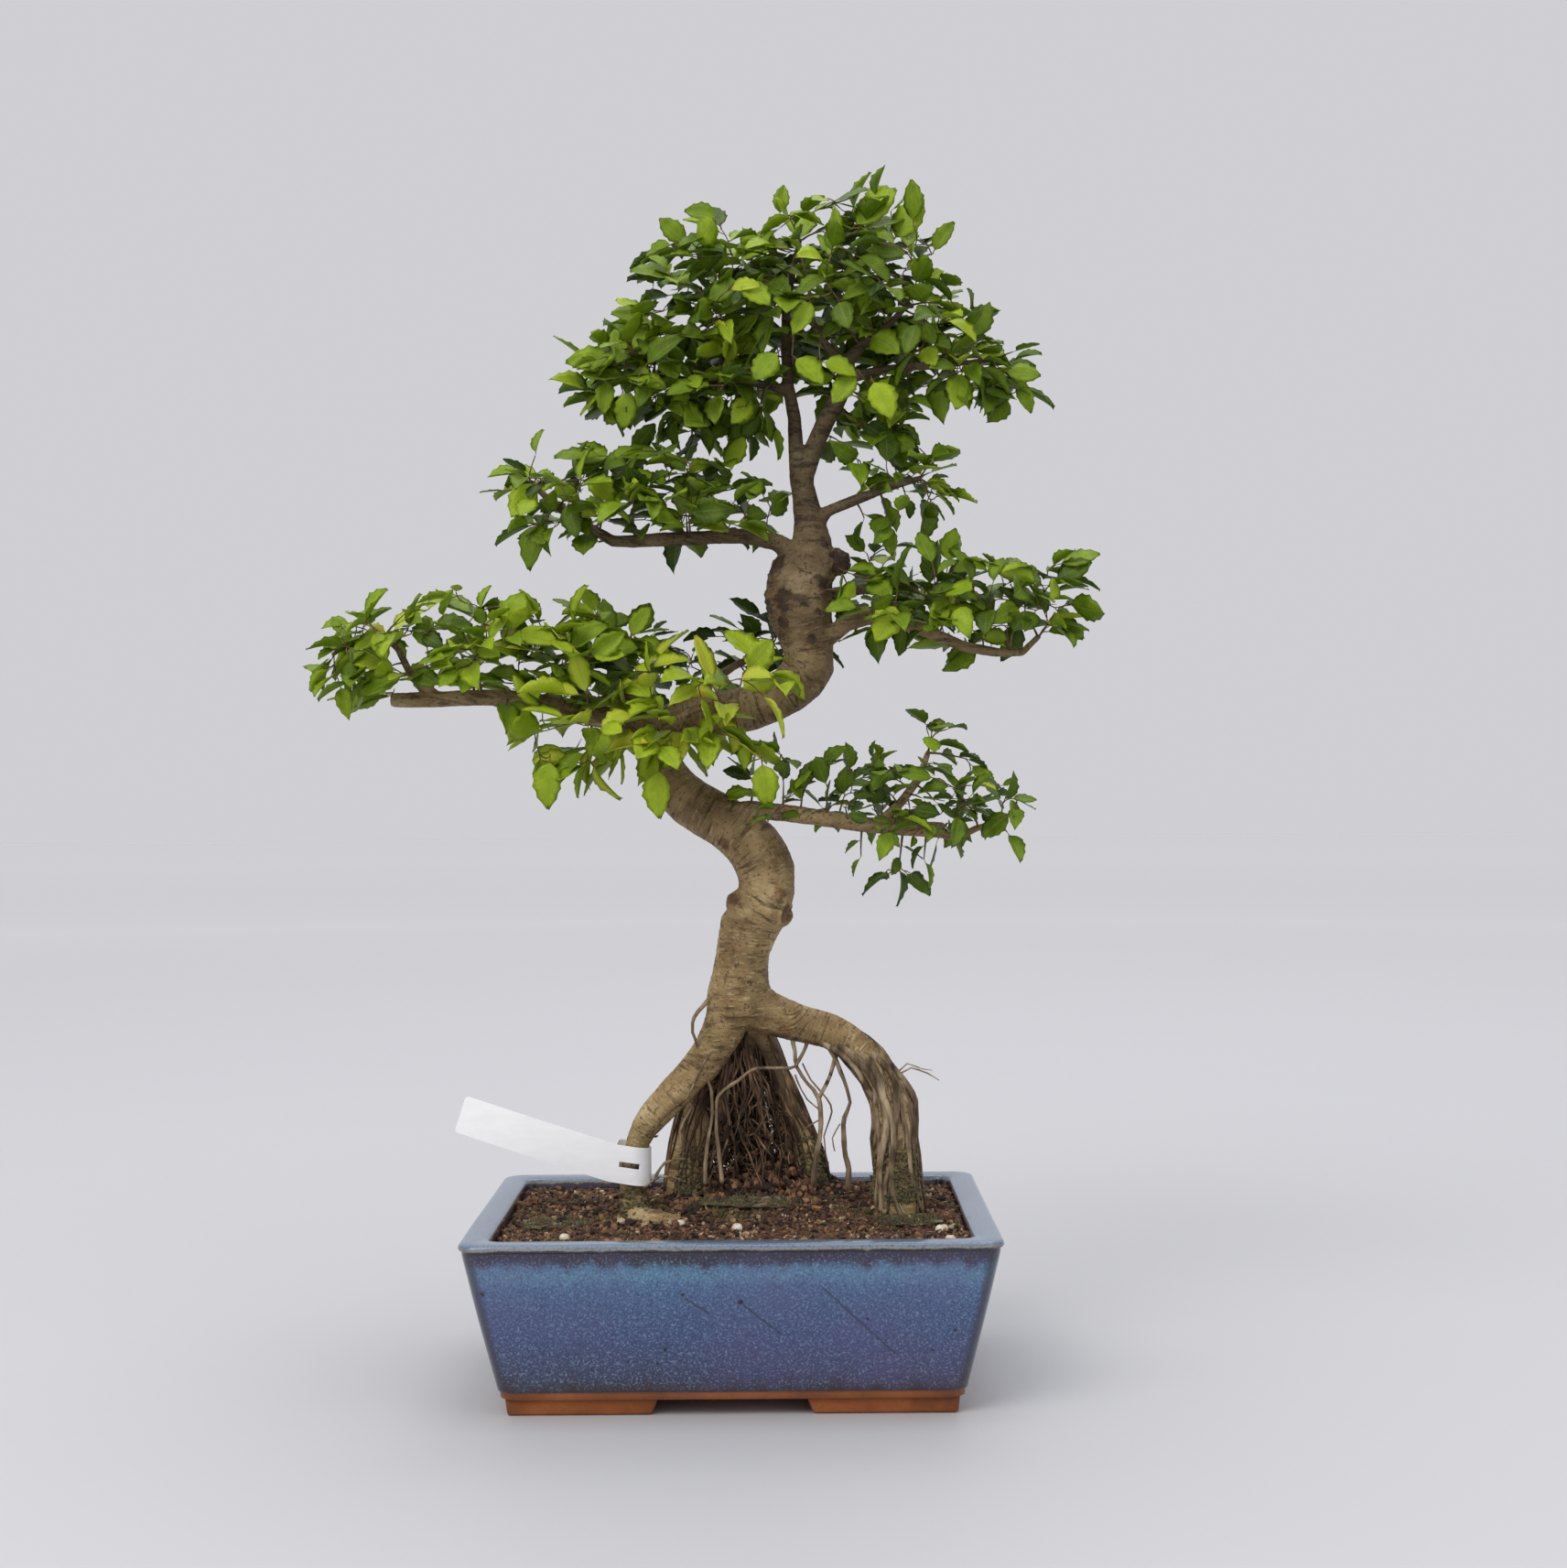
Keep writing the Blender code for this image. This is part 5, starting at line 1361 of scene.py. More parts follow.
# %% Routes of the legs
# Drawn millimetres with the radius of the bark, for the strands that follow them.
RIGHT_LEG = [(4, 0, 116, 13.2), (18, -2, 107, 11.6), (34, -4, 102, 10.2), (51, -6, 97, 9.0),
             (65, -8, 88, 9.0), (76, -9, 76, 9.1), (83, -10, 59, 10.0), (84, -10, 38, 11.2),
             (84, -10, 20, 12.6), (85, -10, 4, 13.6)]
LEFT_LEG = [(2, 0, 118, 13.2), (-5, -2, 100, 11.6), (-12, -4, 87, 10.3), (-23, -5, 74, 9.3),
            (-37, -4, 59, 8.6), (-47, -3, 47, 7.3), (-52, -2, 34, 6.5)]
MIDDLE_LEGS = [
    [(-1, 3, 108, 9.0), (-7, 9, 86, 6.6), (-12, 12, 69, 6.1), (-17, 13, 50, 7.0), (-20, 13, 32, 8.0),
     (-22, 13, 8, 9.0)],
    [(4, 4, 110, 10.0), (7, 14, 86, 6.6), (8, 18, 65, 6.2), (9, 20, 43, 7.6), (10, 20, 24, 9.2),
     (10, 20, 6, 10.4)],
    [(9, 2, 108, 8.0), (18, 8, 88, 5.2), (26, 10, 69, 4.9), (33, 10, 51, 5.4), (40, 9, 33, 6.2),
     (44, 8, 8, 7.2)],
    [(6, 4, 112, 11.0), (14, 24, 92, 8.0), (22, 40, 68, 7.0), (27, 50, 42, 7.0), (30, 54, 8, 8.0)],
    [(0, 4, 110, 10.0), (-14, 22, 82, 7.0), (-25, 37, 52, 6.4), (-31, 45, 20, 7.4), (-33, 48, 4, 7.8)],
]
print("legs", 2 + len(MIDDLE_LEGS))


# %% Finish the roots
def make_root_finish(name, dark, mid, light):
    """Fibrous root bark in three shades, streaked up and down."""
    root = Finish(name, Roughness=0.85)
    streak = root.noise(420, 4, 0.65, stretch=(1, 1, 0.18))
    strand = root.noise(150, 2, stretch=(1, 1, 0.12))
    colour = root.ramp(root.maths("MULTIPLY_ADD", strand, 0.6, root.maths("MULTIPLY", streak, 0.4)),
                       [(0.36, dark), (0.5, mid), (0.64, light)])
    return root.link(Base_Color=colour).bump(streak, 0.3 * MM, 0.8).material


rope_bark = make_root_finish(
    "rope_bark", (0.045, 0.026, 0.013), (0.15, 0.10, 0.055), (0.40, 0.31, 0.19))
fibre_bark = make_root_finish(
    "fibre_bark", (0.018, 0.010, 0.006), (0.085, 0.045, 0.024), (0.26, 0.16, 0.085))
aerial_bark = make_root_finish(
    "aerial_bark", (0.09, 0.058, 0.034), (0.24, 0.17, 0.10), (0.46, 0.37, 0.24))
print("root finishes", rope_bark.name, fibre_bark.name, aerial_bark.name)

# %% Twist the ropes down the legs
RIGHT_STRANDS, LEFT_STRANDS, MIDDLE_STRANDS = 11, 2, 15
# Thick loose ropes of the right leg: angle from the front, turn, start share, radius.
LOOSE_ROPES = [(1.15, -0.15, 0.25, 1.8), (0.6, -0.6, 0.35, 2.2), (0.1, 0.8, 0.42, 2.6),
               (-0.5, 1.1, 0.45, 2.0), (1.6, 0.3, 0.36, 2.3), (2.3, 0.4, 0.4, 2.0),
               (-1.2, -0.5, 0.48, 2.0), (3.1, 0.2, 0.42, 1.9), (-0.1, -1.0, 0.58, 1.5),
               (0.9, 1.3, 0.55, 1.4)]


def make_ropes():
    """Strands that run down over the thick legs."""
    dice = random.Random(11)
    bm = bmesh.new()
    for number in range(RIGHT_STRANDS):
        angle = -1.9 + 3.6 * number / (RIGHT_STRANDS - 1) + dice.uniform(-0.15, 0.15)
        size = dice.uniform(0.7, 1.5) * MM
        path = rope_path(RIGHT_LEG, dice.uniform(0.34, 0.62), 1.0, angle, dice.uniform(-0.8, 0.8),
                         size, 0.35, dice)
        add_stem(bm, path, 6)
    for angle, turn, begin, size in LOOSE_ROPES:
        path = rope_path(RIGHT_LEG, begin, 1.0, angle, turn, size * MM, 1.1, dice)
        add_stem(bm, path, 8)
    for _ in range(LEFT_STRANDS):
        path = rope_path(LEFT_LEG, 0.3, dice.uniform(0.75, 0.95), dice.uniform(-2, 2),
                         dice.uniform(-0.6, 0.6), dice.uniform(0.5, 0.8) * MM, 0.2, dice)
        add_stem(bm, path, 6)
    return bm


def make_middle_ropes():
    """Thinner dark strands round each of the middle legs."""
    dice = random.Random(12)
    bm = bmesh.new()
    for leg in MIDDLE_LEGS:
        for number in range(MIDDLE_STRANDS):
            angle = -math.pi + 2 * math.pi * number / MIDDLE_STRANDS + dice.uniform(-0.2, 0.2)
            path = rope_path(leg, dice.uniform(0.1, 0.45), dice.uniform(0.9, 1.0), angle,
                             dice.uniform(-1.2, 1.2), dice.uniform(0.5, 1.3) * MM, 0.5, dice)
            add_stem(bm, path, 5)
    return bm


hand_over("leg_ropes", make_ropes(), rope_bark, ["trunk"])
hand_over("middle_ropes", make_middle_ropes(), fibre_bark, ["trunk"])

# %% Fill the middle with fibre
CONE_FIBRES, STRAY_FIBRES = 150, 150


def make_fibre_cone():
    """The ragged cone of fibrous roots in the middle."""
    dice = random.Random(13)
    bm = bmesh.new()
    for number in range(CONE_FIBRES):
        turn = dice.uniform(0, 2 * math.pi)
        spread = dice.random() ** 0.6
        top = Vector((2 + 13 * spread * math.cos(turn), 8 + 10 * spread * math.sin(turn),
                      dice.uniform(80, 98)))
        foot = Vector((6 + 36 * spread * math.cos(turn) + dice.uniform(-4, 4),
                       12 + 20 * spread * math.sin(turn) + dice.uniform(-4, 4), dice.uniform(6, 12)))
        if number % 4 == 0:
            top = top.lerp(foot, dice.uniform(0.1, 0.5))
        if number % 6 == 0:
            foot = top.lerp(foot, dice.uniform(0.4, 0.8))
        size = dice.uniform(0.25, 0.8) + (0.5 if number % 5 == 0 else 0.0)
        route = []
        wander = dice.uniform(4, 13)
        drift = dice.uniform(0, 90)
        for step in range(6):
            t = step / 5
            place = top.lerp(foot, t ** 0.8)
            sway = math.sin(math.pi * t) * wander
            place += Vector((noise.noise(Vector((drift, t * 3.5, 0))),
                             noise.noise(Vector((drift, t * 3.5, 7))), 0)) * sway * 2
            route.append((*place, size * (1 - 0.5 * t)))
        add_stem(bm, drawn_path(route, 8.0, 1.6), 5)
    for _ in range(STRAY_FIBRES):
        low = dice.uniform(16, 72)
        wide = 6 + (80 - low) * 0.42
        place = Vector((6 + dice.uniform(-1, 1) * wide, 10 + dice.uniform(-1, 0.6) * wide * 0.5, low))
        route = []
        heading = Vector((dice.uniform(-1, 1), dice.uniform(-0.5, 0.5), dice.uniform(-1, 0.3)))
        heading.normalize()
        for step in range(5):
            route.append((*place, dice.uniform(0.2, 0.45)))
            heading = (heading + Vector([dice.gauss(0, 0.45) for _ in range(3)])).normalized()
            place = place + heading * dice.uniform(2, 5)
        add_stem(bm, drawn_path(route, 4.0, 0.5), 4)
    return bm


hand_over("fibre_roots", make_fibre_cone(), fibre_bark, ["trunk"])


# %% Cross the arch
def make_aerial_roots():
    """The pale roots that cross the arch."""
    bm = bmesh.new()
    for route in AERIAL_ROOTS:
        path = drawn_path(route)
        near, normal, _, gap = wood_tree.find_nearest(path[0][0])
        if gap < 9 * MM:
            path.insert(0, (near - normal * MM, path[0][1] * 1.2))
        add_stem(bm, path, 7)
    return bm


hand_over("aerial_roots", make_aerial_roots(), aerial_bark, ["trunk"])

# %% [markdown]
# ## Soil
#
# Bonsai soil is a mix of bark crumbs, clay grains and root fibre. The plain solid is
# rebuilt as an even net and its top is roughened in two sizes of lump. On top lie
# thousands of loose crumbs: each is an icosphere of twenty faces pulled out of round,
# so that even a few thousand stay light. A number on every crumb picks its colour, from
# black through red-brown to pale grit. Larger clods hang low in the fibrous roots and
# lie heaped round their foot. Fibres are short bent stems lying among them.

# %% Finish the soil
def soil_colours(finish, value):
    """The mix's colours, from black crumb through red-brown to pale grit."""
    return finish.ramp(value, [
        (0.0, (0.010, 0.006, 0.004)), (0.22, (0.028, 0.014, 0.009)), (0.42, (0.065, 0.03, 0.016)),
        (0.62, (0.13, 0.058, 0.028)), (0.78, (0.21, 0.10, 0.045)), (0.9, (0.30, 0.165, 0.075)),
        (0.965, (0.38, 0.25, 0.14)), (1.0, (0.55, 0.46, 0.34))])


def make_soil_finish():
    """Fine dark mix under the crumbs."""
    soil = Finish("soil_mix", Roughness=0.95)
    grain = soil.noise(650, 4, 0.7)
    soil.link(Base_Color=soil_colours(soil, soil.span(grain, 0.3, 0.72)))
    return soil.bump(grain, 0.8 * MM, 1.0).material


def make_crumb_finish():
    """One colour a crumb, with a darker grain."""
    crumb = Finish("soil_crumb", Roughness=0.9)
    grain = crumb.noise(900, 3, 0.7)
    tone = crumb.maths("ADD", crumb.attribute("tone"), crumb.span(grain, 0.3, 0.7, -0.14, 0.14))
    moss = crumb.span(crumb.noise(38, 2), 0.56, 0.66, 0.0, 0.55)
    colour = crumb.mix(moss, soil_colours(crumb, tone), (0.075, 0.07, 0.018))
    crumb.link(Base_Color=colour)
    return crumb.bump(grain, 0.4 * MM, 0.8).material


soil_mix = make_soil_finish()
soil_crumb = make_crumb_finish()
print("finishes", soil_mix.name, soil_crumb.name)

# %% Roughen the soil
SOIL_NET = 1.5 * MM


def roughen_soil():
    """The packed soil with a lumpy top."""
    block = applied(merged_copy("soil"), "soil_net",
                    ("REMESH", {"mode": "VOXEL", "voxel_size": SOIL_NET, "adaptivity": 0.0}))
    bm = bmesh.new()
    bm.from_mesh(block)
    bm.normal_update()
    for vertex in bm.verts:
        top = min(1.0, max(0.0, (vertex.co.z - SOIL_LINE + 3 * MM) / (2 * MM)))
        if top and vertex.normal.z > 0.2:
            lump = hill(vertex.co, 0.011, 1) * 0.9 + hill(vertex.co, 0.0045, 2) * 0.9
            vertex.co.z += lump * MM * top
    return bm


soil_mesh = roughen_soil()
soil_tree = BVHTree.FromBMesh(soil_mesh)
hand_over("soil_bed", soil_mesh, soil_mix, ["soil"])


# %% Find places on the soil
def ground_at(x, y):
    """The soil's surface at a place, and None where the pot or the wood is in the way."""
    sky_high = Vector((x, y, SOIL_LINE + 60 * MM))
    place, normal, _, _ = soil_tree.ray_cast(sky_high, Vector((0, 0, -1)))
    if place is None or place.z < SOIL_LINE - 4 * MM:
        return None
    near, side, _, gap = wood_tree.find_nearest(place)
    if gap < 0.4 * MM or (place - near).dot(side) < 0:
        return None
    return place


def scatter(count, dice, crowd=0.25):
    """Places on the soil, somewhat crowded round the roots."""
    places = []
    reach_x = (soil_high.x - soil_low.x) / 2 - 0.6 * MM
    reach_y = (soil_high.y - soil_low.y) / 2 - 0.6 * MM
    while len(places) < count:
        if dice.random() < crowd:
            x = POT_MIDDLE.x + dice.gauss(8, 42) * MM
            y = POT_MIDDLE.y + dice.gauss(-4, 30) * MM
        else:
            x = POT_MIDDLE.x + dice.uniform(-1, 1) * reach_x
            y = POT_MIDDLE.y + dice.uniform(-1, 1) * reach_y
        if abs(x - POT_MIDDLE.x) < reach_x and abs(y - POT_MIDDLE.y) < reach_y:
            place = ground_at(x, y)
            if place:
                places.append(place)
    return places


print("soil's top", round(soil_tree.find_nearest(Vector((*POT_MIDDLE.xy, 1)))[0].z, 4))

# %% Scatter crumbs
CRUMBS = 6200
CRUMB_KINDS = 8


def crumb_shapes(dice):
    """A few lopsided twenty-faced lumps of unit size."""
    shapes = []
    for kind in range(CRUMB_KINDS):
        bm = bmesh.new()
        bmesh.ops.create_icosphere(bm, subdivisions=1, radius=1.0)
        flatter = (1.0, dice.uniform(0.5, 0.9), dice.uniform(0.35, 0.75))
        bmesh.ops.scale(bm, vec=flatter, verts=bm.verts)
        for vertex in bm.verts:
            vertex.co *= dice.uniform(0.7, 1.25)
        mesh = bpy.data.meshes.new(f"crumb_{kind}")
        bm.to_mesh(mesh)
        bm.free()
        mesh.attributes.new("tone", "FLOAT", "POINT")
        shapes.append(mesh)
    return shapes


def drop(bm, shape, place, size, tone, dice):
    """Add one turned copy of a lump."""
    lump = shape.copy()
    spin = Quaternion([dice.gauss(0, 1) for _ in range(4)]).normalized().to_matrix().to_4x4()
    lump.transform(Matrix.Translation(place) @ spin @ Matrix.Scale(size, 4))
    lump.attributes["tone"].data.foreach_set("value", [tone] * len(lump.vertices))
    bm.from_mesh(lump)
    bpy.data.meshes.remove(lump)


def scatter_crumbs():
    """Loose crumbs of soil in many sizes and colours."""
    dice = random.Random(21)
    shapes = crumb_shapes(dice)
    bm = bmesh.new()
    for place in scatter(CRUMBS, dice):
        size = min(3.2, max(0.55, dice.lognormvariate(0.1, 0.42))) * MM
        drop(bm, dice.choice(shapes), place + UP * size * 0.25, size, dice.random(), dice)
    return bm


hand_over("soil_crumbs", scatter_crumbs(), soil_crumb, ["soil"], smooth=False)

# %% Heap clods round the roots
CLODS = 1100        # caught between the roots
HEAP = 2100         # heaped round their foot


def scatter_clods():
    """Lumps of soil caught low between the fibrous roots, and heaped round their foot."""
    dice = random.Random(23)
    shapes = crumb_shapes(dice)
    bm = bmesh.new()
    for _ in range(CLODS):
        low = 8 + 46 * dice.random() ** 1.8
        wide = 8 + (66 - low) * 0.45
        turn = dice.uniform(0, 2 * math.pi)
        spread = dice.random() ** 0.5
        place = tree_point(8 + wide * spread * math.cos(turn),
                           12 + wide * 0.55 * spread * math.sin(turn), low)
        size = dice.uniform(0.9, 2.8) * (1.2 - low / 90) * MM
        drop(bm, dice.choice(shapes), place, size, dice.random() * 0.85, dice)
    for _ in range(HEAP):
        off_x, off_y = dice.gauss(0, 27), dice.gauss(0, 15)
        foot = ground_at(POT_MIDDLE.x + (13 + off_x) * MM, POT_MIDDLE.y + (6 + off_y) * MM)
        if foot:
            high = 11 * math.exp(-(off_x / 34) ** 2 - (off_y / 20) ** 2)
            place = foot + UP * high * dice.random() * MM
            shape, size = dice.choice(shapes), dice.uniform(1.0, 2.9) * MM
            drop(bm, shape, place, size, dice.random() * 0.85, dice)
    return bm


hand_over("root_clods", scatter_clods(), soil_crumb, ["soil"], smooth=False)

# %% Scatter fibres
FIBRES = 620


def scatter_fibres():
    """Short bent fibres of root and bark."""
    dice = random.Random(22)
    bm = bmesh.new()
    for place in scatter(FIBRES, dice, 0.45):
        turn = dice.uniform(0, 2 * math.pi)
        way = Vector((math.cos(turn), math.sin(turn), dice.uniform(-0.1, 0.3)))
        side = way.cross(UP) * dice.uniform(-0.5, 0.5)
        length = dice.uniform(3, 10) * MM
        radius = dice.uniform(0.18, 0.5) * MM
        rise = UP * dice.uniform(0.5, 1.6) * MM
        path = [(place, radius), (place + way * length * 0.5 + side * length * 0.3 + rise, radius),
                (place + way * length + UP * 0.3 * MM, radius * 0.6)]
        add_stem(bm, path, 4)
    return bm


soil_fibre = make_root_finish(
    "soil_fibre", (0.03, 0.014, 0.008), (0.12, 0.06, 0.03), (0.30, 0.19, 0.10))
hand_over("soil_fibres", scatter_fibres(), soil_fibre, ["soil"])

# %% [markdown]
# ## Moss, pebbles and bark chips
#
# Moss grows where the roots keep the soil damp. A cushion is its plain solid, made
# lumpy, with hundreds of four-sided tufts standing out of it, and loose tufts climb
# the bark from the feet of the roots, fewer the higher they are. Pebbles and chips keep
# the size and place of their solids: dividing the facets rounds a pebble, and a chip
# is left angular and split along its grain.

# %% Finish the moss
def make_moss_finish():
    """Olive moss, brown where it dries."""
    moss = Finish("moss", Roughness=0.95, Sheen_Weight=0.3, Sheen_Roughness=0.5)
    moss.link(Base_Color=moss.ramp(moss.noise(260, 4, 0.7), [
        (0.32, (0.025, 0.017, 0.008)), (0.46, (0.07, 0.05, 0.016)), (0.58, (0.11, 0.10, 0.025)),
        (0.72, (0.19, 0.19, 0.05))]))
    return moss.bump(moss.noise(900, 3), 0.6 * MM, 0.8).material


moss_green = make_moss_finish()
print("finish", moss_green.name)

# %% Grow the moss
MOSS_NET = 0.9 * MM
MOSS_TUFTS = 850


def grow_moss(node, dice):
    """A cushion with tufts."""
    net = applied(merged_copy(node), "moss_net",
                  ("REMESH", {"mode": "VOXEL", "voxel_size": MOSS_NET, "adaptivity": 0.0}))
    bm = bmesh.new()
    bm.from_mesh(net)
    bm.normal_update()
    floor_level = min(vertex.co.z for vertex in bm.verts)
    for vertex in bm.verts:
        rise = max(0.0, vertex.co.z - floor_level)
        vertex.co.z -= rise * (0.45 + 0.3 * hill(vertex.co, 0.012, 7))
        vertex.co += vertex.normal * (hill(vertex.co, 0.005, 3) * 0.9 - 0.6) * MM
    bm.normal_update()
    spots = [(face.calc_center_median(), face.normal.copy()) for face in bm.faces
             if face.normal.z > 0.1 and hill(face.calc_center_median(), 0.009, 9) > -0.35]
    for _ in range(MOSS_TUFTS):
        place, normal = dice.choice(spots)
        tuft = (normal + Vector([dice.gauss(0, 0.5) for _ in range(3)])).normalized()
        stand = Matrix.Translation(place) @ tuft.to_track_quat("Z", "Y").to_matrix().to_4x4()
        tall = dice.uniform(0.9, 2.2) * MM
        lift = Matrix.Translation((0, 0, tall / 2))
        bmesh.ops.create_cone(bm, cap_ends=True, segments=4, radius1=tall * 0.3,
                              radius2=tall * 0.06, depth=tall, matrix=stand @ lift)
    return bm


for number, place_name in enumerate(("centre", "right", "back", "left")):
    cushion = grow_moss(f"moss_{place_name}", random.Random(31 + number))
    hand_over(f"moss_cushion_{place_name}", cushion, moss_green, [f"moss_{place_name}"],
              smooth=False)


# %% Let the moss climb the feet of the roots
TUFT_GAP = 12 * MM
# Middle in plan, lowest and highest tuft, spread, all in drawn millimetres, and count.
MOSS_FEET = [(84, -22, 12, 38, 9, 620), (43, -2, 14, 42, 7, 380), (10, 6, 12, 32, 12, 260),
             (-24, 2, 12, 38, 7, 320), (-52, -6, 4, 16, 6, 160)]


def scatter_tufts():
    """Small tufts of moss on the bark of the roots, thinning out upwards."""
    dice = random.Random(41)
    shapes = crumb_shapes(dice)
    bm = bmesh.new()
    for x, y, low, high, reach, count in MOSS_FEET:
        for _ in range(count):
            z = low + (high - low) * dice.random() ** 1.7
            around = tree_point(x + dice.gauss(0, reach), y + dice.gauss(0, reach), z)
            near, normal, _, gap = wood_tree.find_nearest(around)
            if gap < TUFT_GAP:
                place = near + normal * dice.uniform(0.0, 1.3) * MM
                shape, size = dice.choice(shapes), dice.uniform(0.5, 1.5) * MM
                drop(bm, shape, place, size, dice.random(), dice)
    return bm


hand_over("moss_tufts", scatter_tufts(), moss_green, ["moss_right"], smooth=False)


# %% Round the pebbles
PEBBLES = 6


def round_pebble(node, seed):
    """A river-worn stone."""
    bm = merged_copy(node)
    bmesh.ops.subdivide_edges(bm, edges=bm.edges[:], cuts=3, use_grid_fill=True, smooth=1.0)
    bmesh.ops.smooth_vert(bm, verts=bm.verts, factor=0.6, use_axis_x=True, use_axis_y=True,
                          use_axis_z=True)
    bm.normal_update()
    for vertex in bm.verts:
        bump = hill(vertex.co, 0.0022, seed) * 0.28 + hill(vertex.co, 0.0008, seed) * 0.06
        vertex.co += vertex.normal * bump * MM
    return bm


def make_stone_finish():
    """Pale quartz grit with tan stains."""
    stone = Finish("grit_stone", Roughness=0.6, Coat_Weight=0.05)
    cloud = stone.noise(260, 4)
    stone.link(Base_Color=stone.ramp(cloud, [
        (0.3, (0.36, 0.25, 0.15)), (0.5, (0.62, 0.52, 0.39)), (0.68, (0.80, 0.76, 0.68))]))
    return stone.bump(stone.noise(1300, 3), 0.2 * MM, 0.5).material


grit_stone = make_stone_finish()
for number in range(1, PEBBLES + 1):
    hand_over(f"pebble_stone_{number}", round_pebble(f"pebble_{number}", number), grit_stone,
              [f"pebble_{number}"])

# %% Split the chips
CHIPS = 4


def split_chip(node, seed):
    """A flake of bark with a splintered edge."""
    bm = merged_copy(node)
    bmesh.ops.subdivide_edges(bm, edges=bm.edges[:], cuts=3, use_grid_fill=True)
    bm.normal_update()
    for vertex in bm.verts:
        layer = math.sin(vertex.co.z / (0.45 * MM) + hill(vertex.co, 0.004, seed) * 3)
        rough = layer * 0.22 + hill(vertex.co, 0.0014, seed) * 0.4
        vertex.co += Vector((vertex.normal.x, vertex.normal.y, vertex.normal.z * 0.4)) * rough * MM
    return bm


def make_chip_finish():
    """Orange-brown pine bark in layers."""
    chip = Finish("bark_chip_wood", Roughness=0.85)
    layers = chip.noise(420, 4, 0.6, stretch=(0.4, 0.4, 2.4))
    chip.link(Base_Color=chip.ramp(layers, [
        (0.3, (0.10, 0.035, 0.014)), (0.5, (0.29, 0.11, 0.035)), (0.7, (0.48, 0.24, 0.10))]))
    return chip.bump(layers, 0.4 * MM, 0.8).material


chip_wood = make_chip_finish()
for number in range(1, CHIPS + 1):
    hand_over(f"chip_flake_{number}", split_chip(f"bark_chip_{number}", number + 20), chip_wood,
              [f"bark_chip_{number}"], smooth=False)

# %% [markdown]
# ## The plant label
#
# The label is a strip punched from thin white plastic. One end wraps round the left
# root, and a slot locks it into a loop. The other end stands out to the left like a
# flag. It starts as a flat grid whose long side follows the strip's middle line.
# Its width shrinks at the free end to round the corners and at the other end to make
# a tongue, and the faces of the slot are left out. A Solidify modifier then gives
# the strip its thickness, so that the slot gets walls too. Both sides are left blank.

# %% Draw the strip's middle line
LABEL_MIDDLE = (-53.5, -1.0, 29.0)      # where the root passes through the loop
LABEL_RADIUS = 9.8
LABEL_TAIL = 88.0
LABEL_HALF = 9.8
LABEL_CORNER = 1.2
LABEL_SLOPE = 0.17
TONGUE_HALF, TONGUE_FROM, TONGUE_LENGTH = 5.0, 12, 9
TAIL_STEPS, LOOP_STEPS = 88, 80
LOOP_TURN = math.radians(305)


def label_line():
    """Middle line of the strip as (place, distance from the loop's front)."""
    middle = Vector(LABEL_MIDDLE)
    line = []
    for step in range(TAIL_STEPS):
        run = LABEL_TAIL * (1 - step / TAIL_STEPS)
        bow = 1.5 * math.sin(math.pi * run / LABEL_TAIL)
        rise = LABEL_SLOPE * run + 0.16 * max(0.0, run - 9)
        line.append((middle + Vector((-run, -LABEL_RADIUS - bow, rise)), -run))
    for step in range(LOOP_STEPS + 1):
        angle = LOOP_TURN * step / LOOP_STEPS
        x, y = math.sin(angle) * LABEL_RADIUS, -math.cos(angle) * LABEL_RADIUS
        y += 1.2 * angle / LOOP_TURN
        line.append((middle + Vector((x, y, -LABEL_SLOPE * x)), angle * LABEL_RADIUS))
    return line


print("strip's length", round(label_line()[-1][1] - label_line()[0][1], 1), "mm")

# %% Finish the label
def make_label_finish():
    """Matt white plastic, a little scuffed, with soil dust near the root."""
    plastic = Finish("white_plastic", Roughness=0.5, IOR=1.46)
    scuff = plastic.noise(240, 4, 0.6, stretch=(0.3, 1, 1))
    white = plastic.ramp(scuff, [(0.35, (0.90, 0.90, 0.91)), (0.6, (0.94, 0.94, 0.95))])
    low = plastic.span(plastic.axis("Z"), SOIL_LINE + 24 * MM, SOIL_LINE + 13 * MM)
    dust = plastic.maths("MULTIPLY", low, plastic.span(plastic.noise(300, 4), 0.45, 0.7, 0.0, 0.5))
    plastic.link(Base_Color=plastic.mix(dust, white, (0.30, 0.22, 0.15)),
                 Roughness=plastic.span(scuff, 0.3, 0.7, 0.42, 0.6))
    return plastic.bump(scuff, 0.03 * MM, 0.15).material


white_plastic = make_label_finish()
print("finish", white_plastic.name)

# %% Bend the label
LABEL_ROWS = 28
LABEL_THICK = 0.55 * MM
LABEL_CREASE = math.radians(40)
SLOT = (-5.5, 4.5, 1.1)     # begin, end and half-width, along the strip


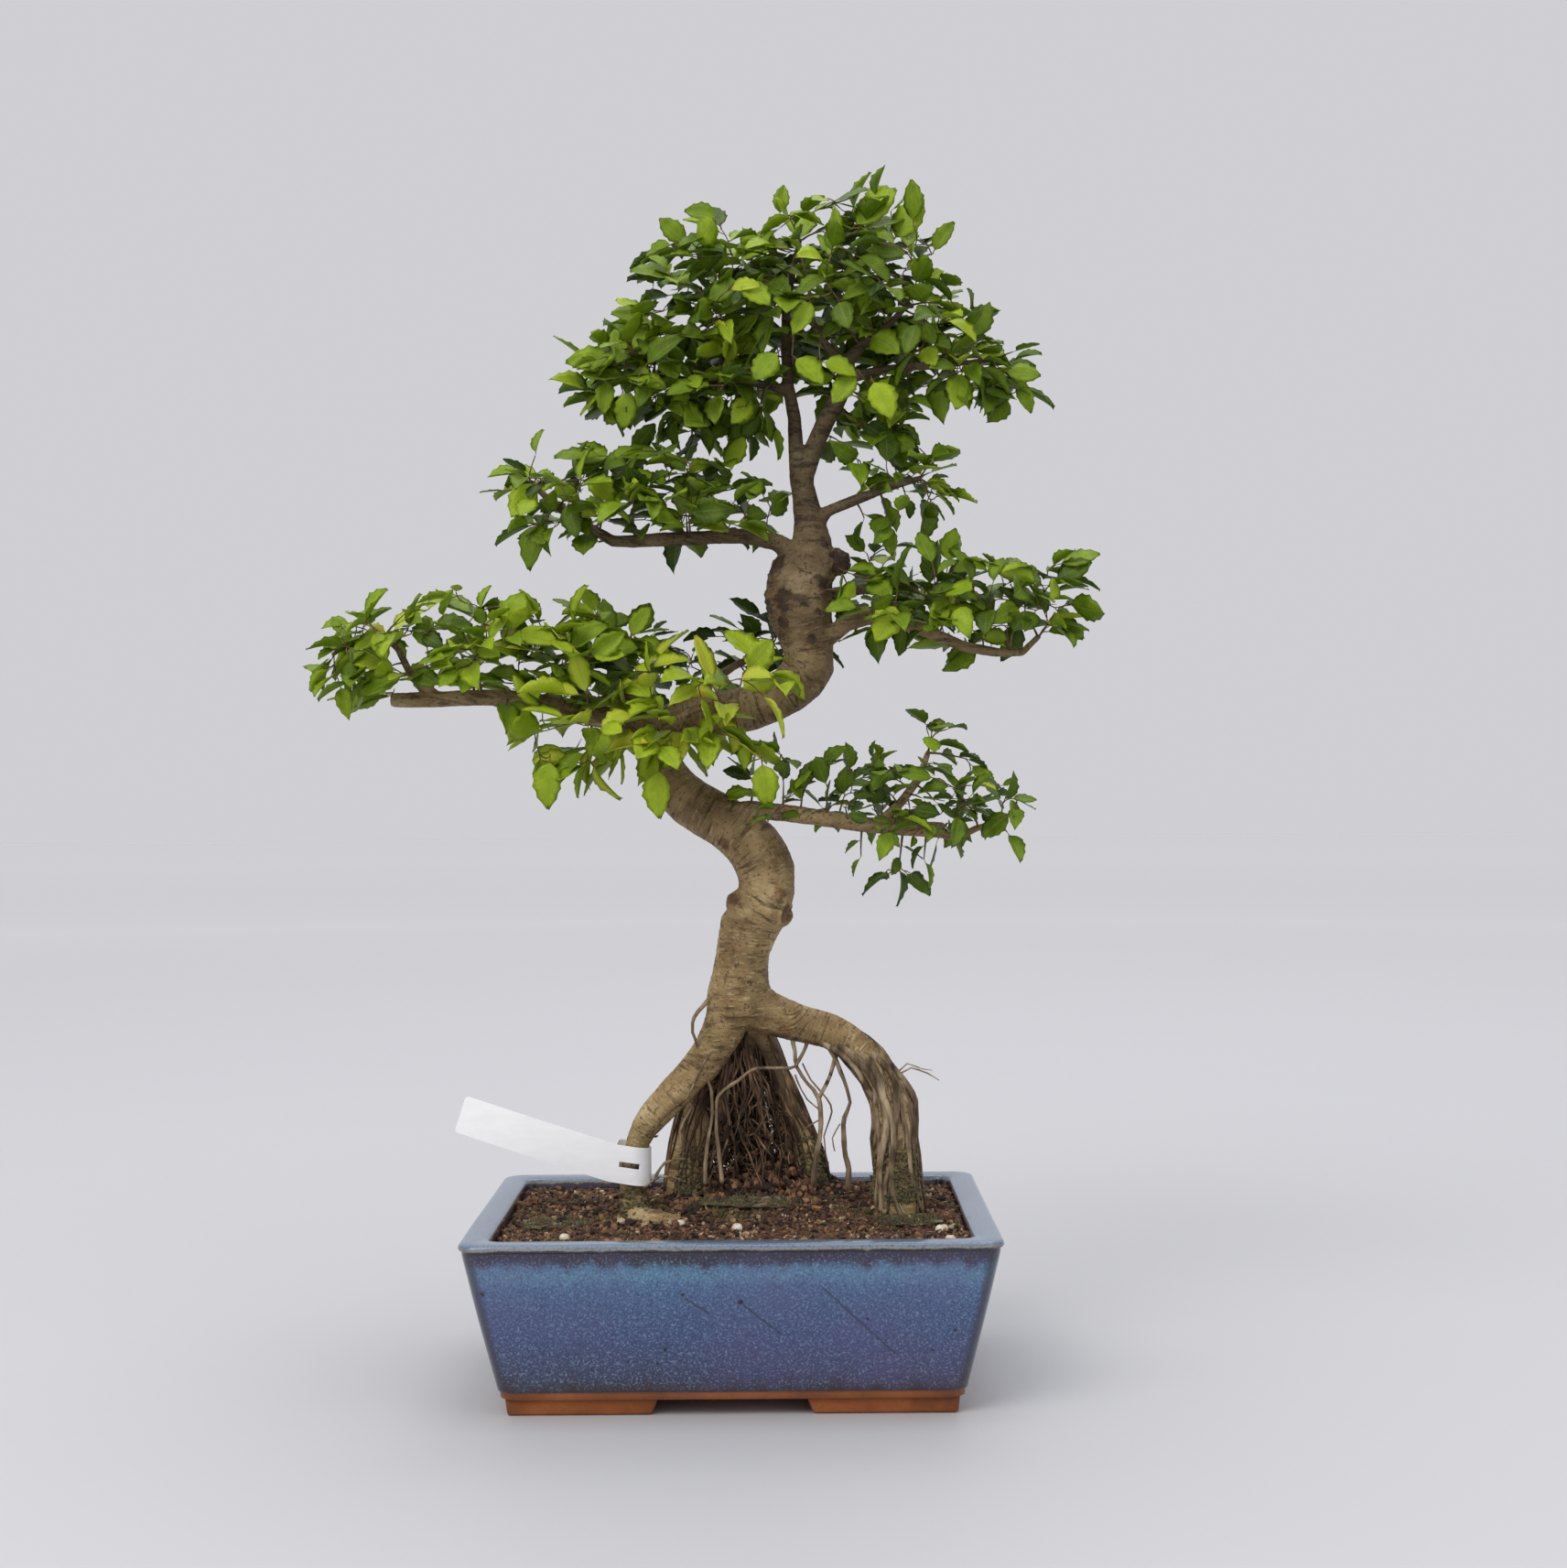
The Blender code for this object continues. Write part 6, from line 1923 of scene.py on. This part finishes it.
def label_half(run, last_run):
    """Half-width of the strip: rounded free corners and a narrow tongue."""
    from_end = LABEL_TAIL + run
    if from_end < LABEL_CORNER:
        inward = LABEL_CORNER - from_end
        return LABEL_HALF - LABEL_CORNER + math.sqrt(LABEL_CORNER ** 2 - inward ** 2)
    to_end = last_run - run
    if to_end > TONGUE_FROM:
        return LABEL_HALF
    return TONGUE_HALF + max(0.0, to_end - TONGUE_LENGTH) * 1.6


def bend_label():
    """The strip as a thin closed sheet."""
    line = label_line()
    last = len(line) - 1
    bm = bmesh.new()
    bmesh.ops.create_grid(bm, x_segments=last, y_segments=LABEL_ROWS, size=0.5)
    slot = []
    for face in bm.faces:
        middle = face.calc_center_median()
        run = line[min(last, round((middle.x + 0.5) * last))][1]
        if SLOT[0] < run < SLOT[1] and abs(middle.y) * 2 * LABEL_HALF < SLOT[2]:
            slot.append(face)
    for vertex in bm.verts:
        index = round((vertex.co.x + 0.5) * last)
        place, run = line[index]
        ahead = (line[min(index + 1, last)][0] - line[max(index - 1, 0)][0]).normalized()
        outward = Vector((-ahead.y, ahead.x, 0)).normalized()
        across = outward.cross(ahead).normalized()
        share = vertex.co.y * 2
        curl = 0.25 * share * share * min(1.0, max(0.0, -run / 30))
        place = place + across * share * label_half(run, line[-1][1]) + outward * curl
        vertex.co = tree_point(*place)
    bmesh.ops.delete(bm, geom=slot, context="FACES")
    return applied(bm, "label_sheet", ("SOLIDIFY", {"thickness": LABEL_THICK, "offset": 0.0}))


label = place_piece("loop_label", bend_label(), white_plastic, ["plant_label"])
label.data.set_sharp_from_angle(angle=LABEL_CREASE)

# %% [markdown]
# ## Drain screens
#
# A square of black plastic mesh lies over each drain hole. Only its underside can be
# glimpsed through the hole, so the solid model's screens stay as they are and get a
# finish of their own: moulded plastic, dulled by soil dust.

# %% Finish the screens
screen_plastic = Finish("screen_plastic", Roughness=0.55)
dust = screen_plastic.noise(420, 4)
screen_plastic.link(Base_Color=screen_plastic.ramp(dust, [
    (0.4, (0.012, 0.012, 0.013)), (0.7, (0.07, 0.05, 0.035))]))
screen_plastic.bump(dust, 0.1 * MM, 0.4)
for side in ("left", "right"):
    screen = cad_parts[f"drain_screen_{side}"]
    screen.data.materials.clear()
    screen.data.materials.append(screen_plastic.material)
print("finish", screen_plastic.material.name)
